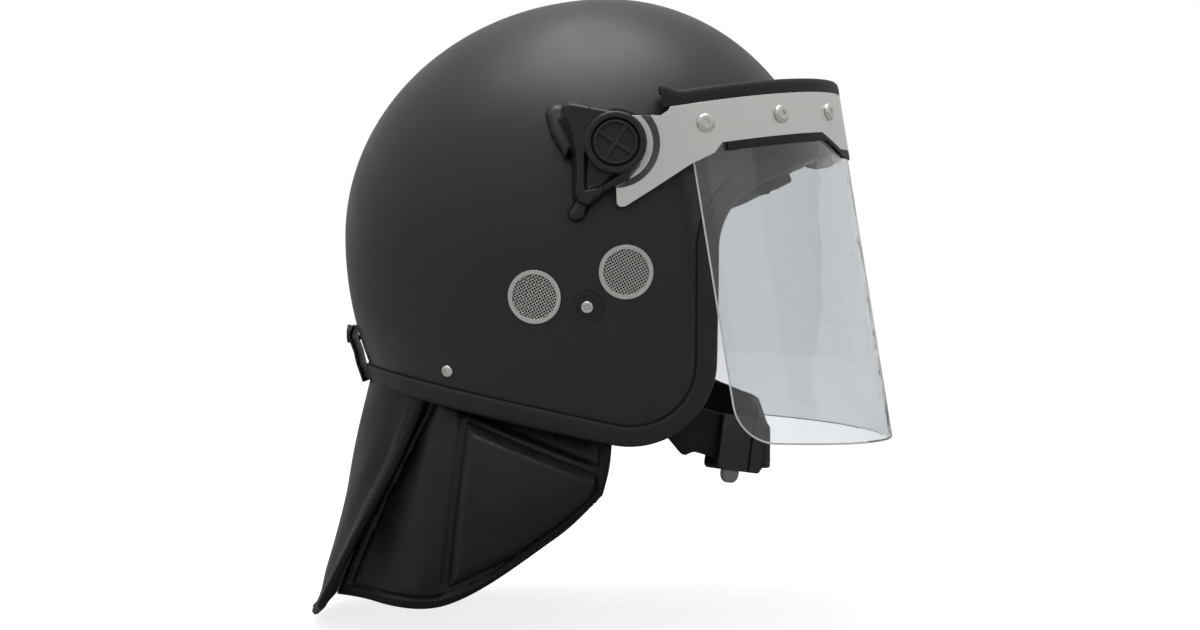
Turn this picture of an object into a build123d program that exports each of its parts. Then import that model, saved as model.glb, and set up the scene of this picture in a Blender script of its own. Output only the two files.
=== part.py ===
from build123d import *
import math
import os

# A riot helmet with its visor, neck guard and chin strap.
# Millimetres. +Z up, the face looks along -Y, the wearer's left side is +X.
# The origin is the centre of the head: on the mid-plane, where the shell is widest.
# Whatever comes in a pair is modelled on the left and mirrored to the right.

# Shell: four quarter ellipsoids that meet smoothly at the widest level
shell_half_width = 120.0
shell_front_reach = 132.0
shell_rear_reach = 156.6
shell_crown_rise = 141.3
shell_lower_drop = 180.0
shell_wall = 4.0
cut_overrun = 30.0

# Edge of the shell, seen from the side
rim_level = -115.9
rim_slope = 12.1
cheek_edge_y = -58.7
brow_corner_z = 15.1
brow_slope = 24.7
chin_corner_radius = 47.0
brow_corner_radius = 40.0

# Rubber rim trim: a channel pushed over the edge
trim_width = 13.0
trim_proud = 2.6
trim_inner_leg = 2.0
trim_web = 2.0
trim_inner_width = 9.0

# Impact liner and comfort pads
liner_gap = 0.4
liner_thickness = 20.0
liner_edge_setback = 17.0
liner_side_level = -20.0
liner_rear_level = -58.0
liner_ear_rear_y = 72.0
liner_ear_corner = 16.0
pad_gap = 0.4
crown_pad_thickness = 11.0
crown_pad_level = 74.0
crown_pad_hub = 24.0
crown_pad_slot = 7.0
crown_pad_slots = 4
brow_pad_thickness = 12.0
brow_pad_height = 38.0
brow_pad_overhang = 9.0
brow_pad_rear_y = -52.0
ear_pad_thickness = 20.0
ear_pad_gap = 4.6
ear_pad_front_y = 24.0
ear_pad_rear_y = 84.0
ear_pad_top_z = -24.0
ear_pad_bottom_z = -84.0
ear_pad_corner = 14.0
nape_pad_thickness = 14.0
nape_pad_half_width = 56.0
nape_pad_top_z = -5.0
nape_pad_bottom_z = -52.0

# Ear vents, two on each side
vent_places = ((39.7, -35.4), (-9.0, -22.2))
vent_flange_radius = 14.5
vent_flange_height = 1.0
vent_barrel_radius = 13.2
vent_mesh_radius = 12.2
vent_mesh_thickness = 0.8
vent_mesh_recess = 0.5
vent_inner_reach = 0.4
fit_gap = 0.1

# Chin strap anchor between the vents
anchor_y = 11.6
anchor_z = -40.8
anchor_washer_radius = 8.5
anchor_washer_height = 1.4
anchor_dish_radius = 6.0
anchor_dish_depth = 0.9
anchor_screw_radius = 2.0
anchor_head_radius = 3.5
anchor_head_height = 1.6
anchor_nut_radius = 5.5
anchor_nut_length = 5.0
anchor_plate_radius = 9.5
anchor_plate_thickness = 1.2

# Visor frame: the plane of the band leans back above the pivot
pivot_y = -3.3
pivot_z = 45.5
visor_lean = 9.2
visor_half_width = 126.0
visor_front_reach = 110.0
visor_centre_back = 28.4
band_steel = 1.2
band_top = 14.4
band_bottom = -8.2
band_drop = -18.0
drop_start = -115.4
drop_end = -127.4
lens_thickness = 3.0
lens_top = 11.0
lens_rear = -39.4
lens_bottom_front = -187.5
lens_bottom_slope = 12.3
lens_corner_radius = 25.0
clamp_steel = 1.0
clamp_inset = 1.5
gasket_height = 4.5
gasket_rear = -58.5
seal_rise = 8.0
seal_flange = 3.2
seal_lip = 3.0
seal_shell_gap = 1.2
seal_rear = -28.0
seal_lip_rise = 4.0
seal_lip_length = 12.0
rivet_shares_round = (0.186, 0.572, 0.851)
rivet_level = 3.2
rivet_shank_radius = 2.0
rivet_head_radius = 5.1
rivet_head_height = 2.2
rivet_socket_radius = 1.6
rivet_socket_depth = 0.9
rivet_nut_radius = 4.2
rivet_nut_height = 2.0

# Visor arm round the pivot, in the visor's own side view
arm_dish_depth = 3.5
arm_dish_seat_radius = 20.0
arm_dish_rim_radius = 23.6
arm_disc_radius = 17.4
arm_corner_radius = 2.5
arm_rear_overlap = 40.0
arm_outline = (
    (-31.5, 14.4), (-30.0, 12.6), (-25.8, 10.6), (-11.2, 13.4), (0.0, 13.4),
    (3.0, -16.0), (3.4, -23.6), (4.6, -33.6), (0.0, -33.6), (-14.4, -27.5), (-37.8, -17.1),
    (-51.0, -13.1), (-56.1, -8.2), (-60.0, 14.4),
)

# Pivot base, screw and tension knob
pivot_hole_radius = 4.0
pivot_running_gap = 0.06
pivot_base_radius = 19.0
washer_thickness = 0.8
washer_radius = 14.0
pivot_nut_radius = 8.0
pivot_nut_height = 3.0
knob_radius = 11.5
knob_recess_radius = 12.6
knob_floor_gap = 0.4
knob_proud = 0.4
knob_dish_depth = 3.2
knob_rim = 1.3
knob_rib_width = 2.2
knob_rib_drop = 0.8
knob_rib_turn = 33.0
knob_bore_depth = 3.0

# Pivot housing, in the side view round the pivot: first forward, then up
housing_clearance = 0.4
housing_thickness = 7.6
housing_boss_radius = 16.3
housing_boss_rise = 3.6
housing_keep_radius = 24.6
housing_corner_radius = 2.5
housing_pocket_depth = 3.4
housing_pocket_corner = 2.4
housing_edge_fillet = 1.2
foot_height = 7.0
foot_corner_radius = 4.0
housing_outline = (
    (7.6, 14.6), (-18.6, 21.4), (-26.5, 18.5), (-28.5, -4.0), (-28.0, -29.0),
    (-19.0, -31.5), (-6.8, -25.0), (12.3, -11.0),
)
housing_pocket = ((-24.0, -6.0), (-17.5, -8.0), (-10.0, -17.5), (-16.0, -26.0), (-24.0, -25.5))
top_foot_outline = ((-16.0, 21.0), (-28.0, 24.5), (-38.5, 21.5), (-38.0, 12.0), (-29.0, -5.0), (-24.0, 0.0))
low_foot_outline = ((-27.0, -24.0), (-26.5, -36.0), (-22.0, -41.5), (-13.0, -39.5), (-11.5, -27.0))

# Chin strap: plan and side view of its centre line
strap_width = 24.0
strap_thickness = 4.0
strap_bend_radius = 18.0
strap_plan = ((106.0, 22.0), (74.5, -44.0), (42.0, -92.0), (-42.0, -92.0), (-74.5, -44.0), (-106.0, 22.0))
strap_side = ((19.0, -27.0), (-44.0, -108.0), (-68.0, -118.0), (-120.0, -128.0))
strap_side_bend_radius = 14.0
buckle_y = -72.0
buckle_length = 31.0
buckle_height = 31.0
buckle_depth = 13.0
buckle_corner = 3.0
buckle_slot_gap = 0.3
buckle_slot_room = 2.4
buckle_groove = 1.2
buckle_groove_width = 2.0
buckle_groove_place = 6.2
release_width = 11.0
release_length = 15.0
release_thickness = 3.0
release_reach = 7.0
release_gap = 0.3
release_set_back = 5.2
chin_pad_thickness = 7.0
chin_pad_half_width = 38.0
chin_pad_extra = 6.0

# Neck guard
strip_gap = 0.4
strip_thickness = 2.0
strip_height = 22.0
strip_front_y = 4.0
guard_top_gap = 0.4
guard_screw_y = 88.5
guard_screw_z = -76.4
guard_screw_head_radius = 3.75
guard_screw_head_height = 2.2
guard_screw_radius = 2.0
guard_nut_radius = 4.0
guard_nut_height = 2.0

# Rear flap: its edge and its middle, from the rim down, each as sideways, back and up
rear_flap_top_edge = (66.0, 101.5)
rear_flap_top_middle = 139.4
rear_flap_edge = ((70.0, 118.0, -127.0), (68.0, 142.0, -170.0), (60.0, 164.0, -211.0))
rear_flap_middle = ((149.8, -128.0), (160.0, -176.0), (175.2, -223.5))
rear_flap_crown = (6.0, 11.0, 11.0, 5.0)
rear_flap_edge_thickness = (4.0, 4.5, 4.5, 4.0)

# Side flap: stations from front to rear, each with the top, the middle and the foot of its outer face
side_flap_top = ((86.0, 2.0), (85.5, 40.0), (77.0, 72.0), (62.0, 99.0))
side_flap_middle = ((90.0, 4.0, -129.0), (96.0, 34.0, -138.0), (93.0, 84.0, -150.0), (62.0, 124.0, -150.0))
side_flap_foot = ((86.0, 6.0, -142.0), (92.0, 30.0, -168.0), (88.0, 92.0, -203.0), (58.0, 147.0, -203.0))
side_flap_crown = (5.0, 9.0, 9.0, 5.0)
side_flap_edge_thickness = (4.0, 4.0, 4.0, 4.0)

# Raised front panel of the side flap, in the same three lines
raised_panel_top = ((91.0, 7.0, -134.0), (94.0, 38.0, -124.0), (92.0, 80.0, -113.5))
raised_panel_foot = ((90.0, 12.0, -150.0), (93.5, 45.0, -170.0), (91.0, 84.0, -190.0))
raised_panel_rise = (1.5, 5.0, 3.0)
raised_panel_bulge = 8.0
raised_panel_root = 2.0

# Rear retainer for a goggle strap
retainer_half_width = 15.0
retainer_thickness = 2.4
retainer_line = ((151.4, -53.0), (153.2, -58.5), (149.6, -68.0), (148.0, -75.0), (144.2, -86.0))
retainer_bend_radius = 4.0
snap_z = -58.0
snap_cap_radius = 5.5
snap_cap_height = 1.6
snap_stud_radius = 3.6
snap_stud_height = 1.0


# General helpers


def swap(outline):
    """Side-view points given as forward and up become Y and Z about the pivot."""
    return [(pivot_y - forward, pivot_z + up) for forward, up in outline]


def rounded_face(points, radius):
    """A flat face with every corner rounded alike."""
    return make_face(FilletPolyline(*points, radius=radius, close=True))


def side_prism(face, frame=Plane.YZ, half=shell_half_width + visor_half_width):
    """A side-view face carried right through the part along X."""
    return extrude(frame * face, amount=half, both=True)


def mirrored(solid):
    """The same piece on the right side."""
    return mirror(solid, about=Plane.YZ)


def both_sides(solid):
    """A left piece and its mirror image as one group."""
    return Compound([*solid.solids(), *mirrored(solid).solids()])


def dome(grow):
    """The whole ellipsoid of the shell's outside, grown or shrunk by a distance."""
    quarters = []
    for reach, turn in ((shell_rear_reach, 0), (shell_front_reach, 180)):
        for rise, low, high in ((shell_crown_rise, 0, 90), (shell_lower_drop, -90, 0)):
            quarter = Rot(0, 0, turn) * Sphere(1, low, high, 180, align=None)
            size = (shell_half_width + grow, reach + grow, rise + grow)
            quarters.append(scale(quarter, by=size))
    return quarters[0] + quarters[1:]


def shell_spot(y, z, grow=0.0):
    """A plane on the left of the shell at a side-view place, its normal pointing out."""
    along = (shell_rear_reach if y > 0 else shell_front_reach) + grow
    rise = (shell_crown_rise if z > 0 else shell_lower_drop) + grow
    across = shell_half_width + grow
    x = across * math.sqrt(1 - (y / along) ** 2 - (z / rise) ** 2)
    normal = (x / across**2, y / along**2, z / rise**2)
    return Plane(origin=(x, y, z), x_dir=(0, 1, 0), z_dir=normal)


def rod(plane, radius, low, high):
    """A round bar along a plane's normal, from one height to another."""
    bar = Cylinder(radius, high - low, align=(Align.CENTER, Align.CENTER, Align.MIN))
    return plane * Pos(0, 0, low) * bar


def edges_above(solid, plane, height):
    """The edges of a solid that lie at one height above a plane."""
    return [e for e in solid.edges() if abs(plane.to_local_coords(e.center()).Z - height) < fit_gap]


def opening_face(inset):
    """All that lies in front of and below the shell's edge, grown into the shell by a distance."""
    drop = math.radians(rim_slope)
    lift = math.radians(brow_slope)
    far_rear = shell_rear_reach + cut_overrun + cut_overrun
    far_front = -shell_front_reach - cut_overrun
    low = -shell_lower_drop - cut_overrun
    edge_y = cheek_edge_y + inset

    def rim_z(y):
        return rim_level + inset / math.cos(drop) + y * math.tan(drop)

    def brow_z(y):
        return brow_corner_z + inset / math.cos(lift) + (cheek_edge_y - y) * math.tan(lift)

    points = [
        (far_rear, rim_z(far_rear)), (edge_y, rim_z(edge_y)), (edge_y, brow_z(edge_y)),
        (far_front, brow_z(far_front)), (far_front, low), (far_rear, low),
    ]
    line = FilletPolyline(*points[:4], radius=[chin_corner_radius - inset, brow_corner_radius + inset])
    rest = Polyline(points[3], points[4], points[5], points[0])
    return make_face([*line.edges(), *rest.edges()])


def behind_edge(solid, inset):
    """The part of a solid that lies behind the shell's edge by a distance."""
    return solid - side_prism(opening_face(inset))


# Shell, trim, liner and pads


def make_shell_blank():
    """The shell without its screw and vent holes."""
    return behind_edge(dome(0) - dome(-shell_wall), trim_web)


def make_shell(blank):
    """The moulded shell with the holes for vents, strap, guard, pivot and snap."""
    holes = [rod(spot, vent_barrel_radius + fit_gap, -cut_overrun, cut_overrun) for spot in vent_spots()]
    holes.append(rod(anchor_spot(), anchor_screw_radius + fit_gap, -cut_overrun, cut_overrun))
    holes.append(rod(guard_spot(), guard_screw_radius + fit_gap, -cut_overrun, cut_overrun))
    holes.append(rod(pivot_plane(), pivot_hole_radius + fit_gap, shell_half_width / 2, visor_half_width))
    for hole in holes:
        blank = blank - hole - mirrored(hole)
    return blank


def make_trim():
    """The channel round the edge: outer leg, inner leg and web."""
    skin = behind_edge(dome(trim_proud) - dome(-shell_wall - trim_inner_leg), 0)
    core = behind_edge(dome(0) - dome(-shell_wall), trim_web)
    outer = dome(trim_proud) - dome(-shell_wall / 2)
    inner = dome(-shell_wall / 2) - dome(-shell_wall - trim_inner_leg)
    outer_leg = skin & outer & side_prism(opening_face(trim_width))
    inner_leg = skin & inner & side_prism(opening_face(trim_inner_width))
    return outer_leg + inner_leg - core


def make_liner():
    """The foam impact liner, cut away round the ears."""
    outside = -shell_wall - liner_gap
    liner = dome(outside) - dome(outside - liner_thickness)
    liner = behind_edge(liner, liner_edge_setback)
    rear = shell_rear_reach + cut_overrun
    low = -shell_lower_drop - cut_overrun
    below = (
        (-shell_front_reach - cut_overrun, liner_side_level), (liner_ear_rear_y, liner_side_level),
        (liner_ear_rear_y, liner_rear_level), (rear, liner_rear_level), (rear, low),
        (-shell_front_reach - cut_overrun, low),
    )
    liner = liner - side_prism(rounded_face(below, liner_ear_corner))
    bore = rod(pivot_plane(), pivot_nut_radius + liner_gap, shell_half_width / 2, visor_half_width)
    return liner - bore - mirrored(bore)


def pad_layer(gap, thickness):
    """A layer inside the liner's inner face."""
    outside = -shell_wall - liner_gap - liner_thickness - gap
    return dome(outside) - dome(outside - thickness)


def make_crown_pad():
    """The crown pad: a cap with four open slots between its lobes."""
    layer = pad_layer(pad_gap, crown_pad_thickness)
    reach = shell_rear_reach + cut_overrun
    top = Pos(0, 0, crown_pad_level) * Box(
        reach + reach, reach + reach, reach, align=(Align.CENTER, Align.CENTER, Align.MIN)
    )
    pad = layer & top
    step = 360 / crown_pad_slots
    for place in range(crown_pad_slots):
        slot = Pos(crown_pad_hub, 0) * Box(
            reach, crown_pad_slot, reach + reach, align=(Align.MIN, Align.CENTER, Align.CENTER)
        )
        pad = pad - Rot(0, 0, step * place + step / 2) * slot
    return pad


def make_brow_pad():
    """The brow pad, which hangs below the liner's front edge."""
    layer = pad_layer(pad_gap, brow_pad_thickness)
    lift = math.radians(brow_slope)
    far = -shell_front_reach - cut_overrun

    def line_z(y, rise):
        level = brow_corner_z + liner_edge_setback - brow_pad_overhang + rise
        return level + (cheek_edge_y - y) * math.tan(lift)

    outline = (
        (brow_pad_rear_y, line_z(brow_pad_rear_y, 0)), (far, line_z(far, 0)),
        (far, line_z(far, brow_pad_height)), (brow_pad_rear_y, line_z(brow_pad_rear_y, brow_pad_height)),
    )
    return layer & side_prism(make_face(Polyline(*outline, close=True)))


def make_ear_pad():
    """The left ear pad, between the shell and the head below the liner."""
    outside = -shell_wall - ear_pad_gap
    layer = dome(outside) - dome(outside - ear_pad_thickness)
    outline = (
        (ear_pad_front_y, ear_pad_top_z), (ear_pad_rear_y - ear_pad_corner, ear_pad_top_z),
        (ear_pad_rear_y - ear_pad_corner, ear_pad_bottom_z), (ear_pad_front_y, ear_pad_bottom_z),
    )
    block = extrude(Plane.YZ * rounded_face(outline, ear_pad_corner), amount=shell_half_width)
    return layer & block


def make_nape_pad():
    """The nape pad inside the rear of the liner."""
    layer = pad_layer(pad_gap, nape_pad_thickness)
    outline = (
        (-nape_pad_half_width, nape_pad_bottom_z), (nape_pad_half_width, nape_pad_bottom_z),
        (nape_pad_half_width, nape_pad_top_z), (-nape_pad_half_width, nape_pad_top_z),
    )
    block = extrude(Plane.XZ * rounded_face(outline, ear_pad_corner), amount=-shell_rear_reach)
    return layer & block


# Vents and screws in the shell


def vent_spots():
    return [shell_spot(y, z) for y, z in vent_places]


def anchor_spot():
    return shell_spot(anchor_y, anchor_z)


def guard_spot():
    return shell_spot(guard_screw_y, guard_screw_z)


def make_vent_rings():
    """Turned rings with a flange outside and a barrel through the shell."""
    rings = []
    for spot in vent_spots():
        flange = rod(spot, vent_flange_radius, 0, vent_flange_height) - dome(0)
        barrel = rod(spot, vent_barrel_radius, -shell_wall - vent_inner_reach, vent_flange_height)
        ring = flange + barrel
        ring = ring - rod(spot, vent_mesh_radius, -shell_wall - cut_overrun, cut_overrun)
        rings.append(ring)
    return both_sides(Compound([s for ring in rings for s in ring.solids()]))


def make_vent_meshes():
    """The woven discs inside the rings."""
    top = vent_flange_height - vent_mesh_recess
    discs = [rod(spot, vent_mesh_radius, top - vent_mesh_thickness, top) for spot in vent_spots()]
    return both_sides(Compound([s for disc in discs for s in disc.solids()]))


def make_anchor_washers():
    """Dished plastic washers under the strap screws."""
    spot = anchor_spot()
    washer = rod(spot, anchor_washer_radius, 0, anchor_washer_height) - dome(0)
    washer = washer - rod(spot, anchor_dish_radius, anchor_washer_height - anchor_dish_depth, cut_overrun)
    washer = washer - rod(spot, anchor_screw_radius + fit_gap, -cut_overrun, cut_overrun)
    return both_sides(washer)


def make_anchor_screws():
    """The strap screws, from the washer to the nut inside."""
    spot = anchor_spot()
    seat = anchor_washer_height - anchor_dish_depth
    head = rod(spot, anchor_head_radius, seat, seat + anchor_head_height)
    shank_end = -shell_wall - anchor_nut_length
    return both_sides(head + rod(spot, anchor_screw_radius, shank_end, seat))


def make_anchor_nuts():
    """The flanged nuts that hold the strap ends inside the shell."""
    spot = anchor_spot()
    nut = rod(spot, anchor_nut_radius, -shell_wall - anchor_nut_length, cut_overrun) & dome(-shell_wall)
    plate_low = -shell_wall - anchor_nut_length - anchor_plate_thickness
    plate = rod(spot, anchor_plate_radius, plate_low, -shell_wall - anchor_nut_length)
    nut = nut + plate - rod(spot, anchor_screw_radius + fit_gap, -shell_wall - anchor_nut_length, cut_overrun)
    return both_sides(nut)


# Visor in its own leaning frame


def visor_plan():
    lean = math.radians(visor_lean)
    up = (0, math.sin(lean), math.cos(lean))
    return Plane(origin=(0, pivot_y, pivot_z), x_dir=(1, 0, 0), z_dir=up)


def visor_side():
    lean = math.radians(visor_lean)
    back = (0, math.cos(lean), -math.sin(lean))
    return Plane(origin=(0, pivot_y, pivot_z), x_dir=back, z_dir=(1, 0, 0))


def pivot_plane(x=0.0):
    return Plane(origin=(x, pivot_y, pivot_z), x_dir=(0, 1, 0), z_dir=(1, 0, 0))


def visor_face(inset, rear):
    """Plan outline of the visor: half an ellipse in front, straight sides behind."""
    across = visor_half_width - inset
    along = visor_front_reach - inset
    centre = Pos(0, -visor_centre_back)
    front = centre * (
        Ellipse(across, along) - Pos(0, along) * Rectangle(across + across + along, along + along)
    )
    depth = rear + visor_centre_back
    back = Pos(0, rear - depth / 2) * Rectangle(across + across, depth)
    return front + back


def visor_wall(inset, thickness, low, high):
    """A wall that follows the visor's plan, open at the rear."""
    ring = visor_face(inset, arm_rear_overlap) - visor_face(inset + thickness, arm_rear_overlap + cut_overrun)
    return extrude(visor_plan() * Pos(0, 0, low) * ring, amount=high - low)


def rivet_spots():
    """Planes on the outside of the band at its rivets, left side, normal pointing out."""
    spots = []
    frame = visor_plan()
    for share in rivet_shares_round:
        along = -visor_front_reach * share
        across = visor_half_width * math.sqrt(1 - share**2)
        normal = Vector(across / visor_half_width**2, along / visor_front_reach**2, 0)
        centre = frame.from_local_coords(Vector(across, along - visor_centre_back, rivet_level))
        tip = frame.from_local_coords(
            Vector(across, along - visor_centre_back, rivet_level) + normal.normalized()
        )
        spots.append(Plane(origin=centre, x_dir=frame.z_dir, z_dir=tip - centre))
    return spots


def drill_rivets(solid):
    """The six rivet holes through a layer of the visor."""
    for spot in rivet_spots():
        hole = rod(spot, rivet_shank_radius + fit_gap, -cut_overrun, cut_overrun)
        solid = solid - hole - mirrored(hole)
    return solid


def arm_dish():
    """The pressed dish round the left pivot, where the arm steps in towards the shell."""
    rim = visor_half_width
    seat = visor_half_width - arm_dish_depth
    outline = (
        (0.0, seat - band_steel), (arm_dish_seat_radius, seat - band_steel),
        (arm_dish_rim_radius, rim - band_steel), (arm_dish_rim_radius, rim),
        (arm_dish_seat_radius, seat), (0.0, seat),
    )
    profile = Plane.XY * make_face(Polyline(*outline, close=True))
    dish = revolve(profile, Axis.Y)
    return Pos(0, pivot_y, pivot_z) * Rot(0, 0, -90) * dish


def band_outline():
    """Side view of the steel: band, centre drop and arm, in the visor's frame."""
    front = -visor_centre_back - visor_front_reach - cut_overrun
    arm_front = arm_outline[-1][0]
    band = Polyline(
        (arm_front, band_top), (arm_front, band_bottom), (drop_start, band_bottom),
        (drop_end, band_drop), (front, band_drop), (front, band_top), close=True,
    )
    arm = rounded_face(arm_outline[:-1] + ((arm_front, band_bottom), arm_outline[-1]), 0)
    corners = [v for v in arm.vertices() if v.Y < -arm_disc_radius]
    arm = fillet(corners, arm_corner_radius) if corners else arm
    return make_face(band) + arm + Circle(arm_disc_radius)


def make_band():
    """The stainless band with its two formed arms."""
    wall = visor_wall(0, band_steel, band_drop - cut_overrun, band_top + cut_overrun)
    dish = arm_dish()
    well = rod(pivot_plane(), arm_dish_rim_radius, visor_half_width - cut_overrun, visor_half_width + band_steel)
    wall = wall - well - mirrored(well) + dish + mirrored(dish)
    band = wall & side_prism(band_outline(), visor_side())
    hole = rod(pivot_plane(), pivot_hole_radius + pivot_running_gap, 0, visor_half_width + cut_overrun)
    return drill_rivets(band - hole - mirrored(hole))


def make_lens():
    """The clear lens behind the band, with rounded lower corners."""
    slope = math.tan(math.radians(lens_bottom_slope))
    front = -visor_centre_back - visor_front_reach - cut_overrun
    middle = -visor_centre_back - visor_front_reach

    def bottom_z(y):
        return lens_bottom_front + (y - middle) * slope

    points = (
        (front, lens_top), (front, bottom_z(front)),
        (lens_rear, bottom_z(lens_rear)), (lens_rear, lens_top),
    )
    line = FilletPolyline(*points[1:], radius=lens_corner_radius)
    face = make_face([*line.edges(), *Polyline(points[3], points[0], points[1]).edges()])
    wall = visor_wall(band_steel, lens_thickness, lens_bottom_front - cut_overrun, lens_top + cut_overrun)
    return drill_rivets(wall & side_prism(face, visor_side()))


def make_clamp_strip():
    """The inner steel strip that holds the lens to the band."""
    inset = band_steel + lens_thickness
    wall = drill_rivets(visor_wall(inset, clamp_steel, band_bottom + clamp_inset, lens_top))
    front = -visor_centre_back - visor_front_reach - cut_overrun
    face = make_face(
        Polyline(
            (front, band_top), (front, band_drop), (lens_rear - clamp_inset, band_drop),
            (lens_rear - clamp_inset, band_top), close=True,
        )
    )
    return wall & side_prism(face, visor_side())


def make_gasket():
    """The rubber strip along the band's lower edge, outside the lens."""
    wall = visor_wall(0, band_steel, band_drop - cut_overrun, band_bottom)
    front = -visor_centre_back - visor_front_reach - cut_overrun
    line = (
        (gasket_rear, band_bottom), (drop_start, band_bottom), (drop_end, band_drop), (front, band_drop),
        (front, band_drop - gasket_height), (drop_end - gasket_height / 2, band_drop - gasket_height),
        (drop_start - gasket_height / 2, band_bottom - gasket_height), (gasket_rear, band_bottom - gasket_height),
    )
    return wall & side_prism(make_face(Polyline(*line, close=True)), visor_side())


def make_top_seal():
    """The rubber seal on top of the band, whose flange reaches in to the shell."""
    high = band_top + seal_rise
    lip = visor_wall(0, seal_lip, band_top, high)
    flange = extrude(
        visor_plan() * Pos(0, 0, high - seal_flange) * visor_face(seal_lip / 2, arm_rear_overlap),
        amount=seal_flange,
    )
    front = -visor_centre_back - visor_front_reach - cut_overrun
    outline = (
        (front, band_top), (seal_rear, band_top), (seal_rear, high + seal_lip_rise),
        (seal_rear - seal_lip_length, high), (front, high),
    )
    end_lip = visor_wall(0, seal_lip, high, high + seal_lip_rise)
    seal = lip + flange + end_lip
    return (seal & side_prism(make_face(Polyline(*outline, close=True)), visor_side())) - dome(seal_shell_gap)


def make_rivets():
    """Button-head rivets through band, lens and clamp strip."""
    stack = band_steel + lens_thickness + clamp_steel + rivet_nut_height
    rivets = []
    for spot in rivet_spots():
        head = rod(spot, rivet_head_radius, 0, rivet_head_height)
        head = fillet(edges_above(head, spot, rivet_head_height), rivet_head_height - fit_gap - fit_gap)
        head = head - rod(spot, rivet_socket_radius, rivet_head_height - rivet_socket_depth, cut_overrun)
        rivets.extend((head + rod(spot, rivet_shank_radius, -stack, 0)).solids())
    return both_sides(Compound(rivets))


def make_rivet_nuts():
    """The cap nuts on the rivets' inner ends."""
    under = -band_steel - lens_thickness - clamp_steel
    nuts = []
    for spot in rivet_spots():
        nut = rod(spot, rivet_nut_radius, under - rivet_nut_height, under + fit_gap + fit_gap)
        nut = nut - visor_wall(band_steel, lens_thickness + clamp_steel, band_drop, band_top)
        nuts.extend((nut - rod(spot, rivet_shank_radius, -cut_overrun, 0)).solids())
    return both_sides(Compound(nuts))


# Pivot


def arm_seat():
    """Distance of the arm's inner face from the mid-plane at the pivot."""
    return visor_half_width - arm_dish_depth - band_steel


def make_pivot_base():
    """The moulded spacer between the shell and the left arm."""
    top = arm_seat() - washer_thickness - pivot_running_gap
    base = rod(pivot_plane(), pivot_base_radius, 0, top)
    base = base - dome(0)
    return base - rod(pivot_plane(), pivot_hole_radius + fit_gap, 0, visor_half_width)


def make_friction_washers():
    """The friction washers between base and arm."""
    top = arm_seat() - pivot_running_gap
    washer = rod(pivot_plane(), washer_radius, top - washer_thickness, top)
    return both_sides(washer - rod(pivot_plane(), pivot_hole_radius + fit_gap, 0, visor_half_width))


def knob_floor():
    """Distance of the recess floor in the boss from the mid-plane."""
    return housing_under() + housing_thickness + housing_boss_rise - knob_depth()


def knob_depth():
    return knob_dish_depth + knob_bore_depth


def housing_under():
    return visor_half_width - arm_dish_depth + housing_clearance


def make_pivot_screws():
    """The pivot studs, from the nut inside the shell to the knob."""
    inner = shell_spot(pivot_y, pivot_z).origin.X - shell_wall - pivot_nut_height - fit_gap
    tip = knob_floor() + knob_floor_gap + knob_bore_depth - fit_gap
    stud = rod(pivot_plane(), pivot_hole_radius, inner - pivot_nut_height, tip)
    flange = rod(pivot_plane(), pivot_nut_radius, inner - pivot_nut_height, inner)
    nut = rod(pivot_plane(), pivot_nut_radius, inner - fit_gap, visor_half_width) & dome(-shell_wall)
    return both_sides(stud + flange + nut)


def edges_at(solid, x):
    """The edges of a solid that lie at one distance from the mid-plane."""
    return solid.edges().filter_by_position(Axis.X, x - fit_gap, x + fit_gap)


def arm_sweep():
    """The room above the pivot that the arm's step turns through under the cover."""
    low = housing_under() - housing_clearance
    high = visor_half_width + housing_clearance
    ring = rod(pivot_plane(), housing_keep_radius, low, high)
    ring = ring - rod(pivot_plane(), arm_dish_seat_radius - housing_clearance, low, high)
    return ring & Pos(0, pivot_y, pivot_z) * Box(
        high + high, housing_keep_radius + housing_keep_radius, housing_keep_radius,
        align=(Align.CENTER, Align.CENTER, Align.MIN),
    )


def make_housing():
    """The moulded pivot cover: boss, rear body and two feet on the shell."""
    under = housing_under()
    top = under + housing_thickness
    boss_top = top + housing_boss_rise
    outline = rounded_face(swap(housing_outline), housing_corner_radius)
    body = extrude(Plane.YZ.offset(under) * outline, amount=housing_thickness)
    body = fillet(edges_at(body, top), housing_edge_fillet)
    recess = rounded_face(swap(housing_pocket), housing_pocket_corner)
    pocket = extrude(Plane.YZ.offset(top - housing_pocket_depth) * recess, amount=housing_thickness)
    boss = rod(pivot_plane(), housing_boss_radius, under, boss_top)
    boss = fillet(edges_at(boss, boss_top), housing_edge_fillet)
    wall = extrude(Plane.YZ * outline, amount=under + fit_gap)
    wall = wall - rod(pivot_plane(), housing_keep_radius, 0, under)
    feet = [
        extrude(Plane.YZ * rounded_face(swap(line), foot_corner_radius), amount=shell_half_width + foot_height)
        for line in (top_foot_outline, low_foot_outline)
    ]
    feet = [foot - rod(pivot_plane(), housing_keep_radius, 0, visor_half_width + cut_overrun) for foot in feet]
    cover = body - pocket - arm_sweep() + boss
    seat = (wall + feet[0] + feet[1]) & dome(foot_height + foot_height)
    housing = cover + (seat - dome(0))
    housing = housing - rod(pivot_plane(), knob_recess_radius, knob_floor(), visor_half_width + cut_overrun)
    return housing - rod(pivot_plane(), pivot_hole_radius + pivot_running_gap, 0, visor_half_width + cut_overrun)


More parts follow.
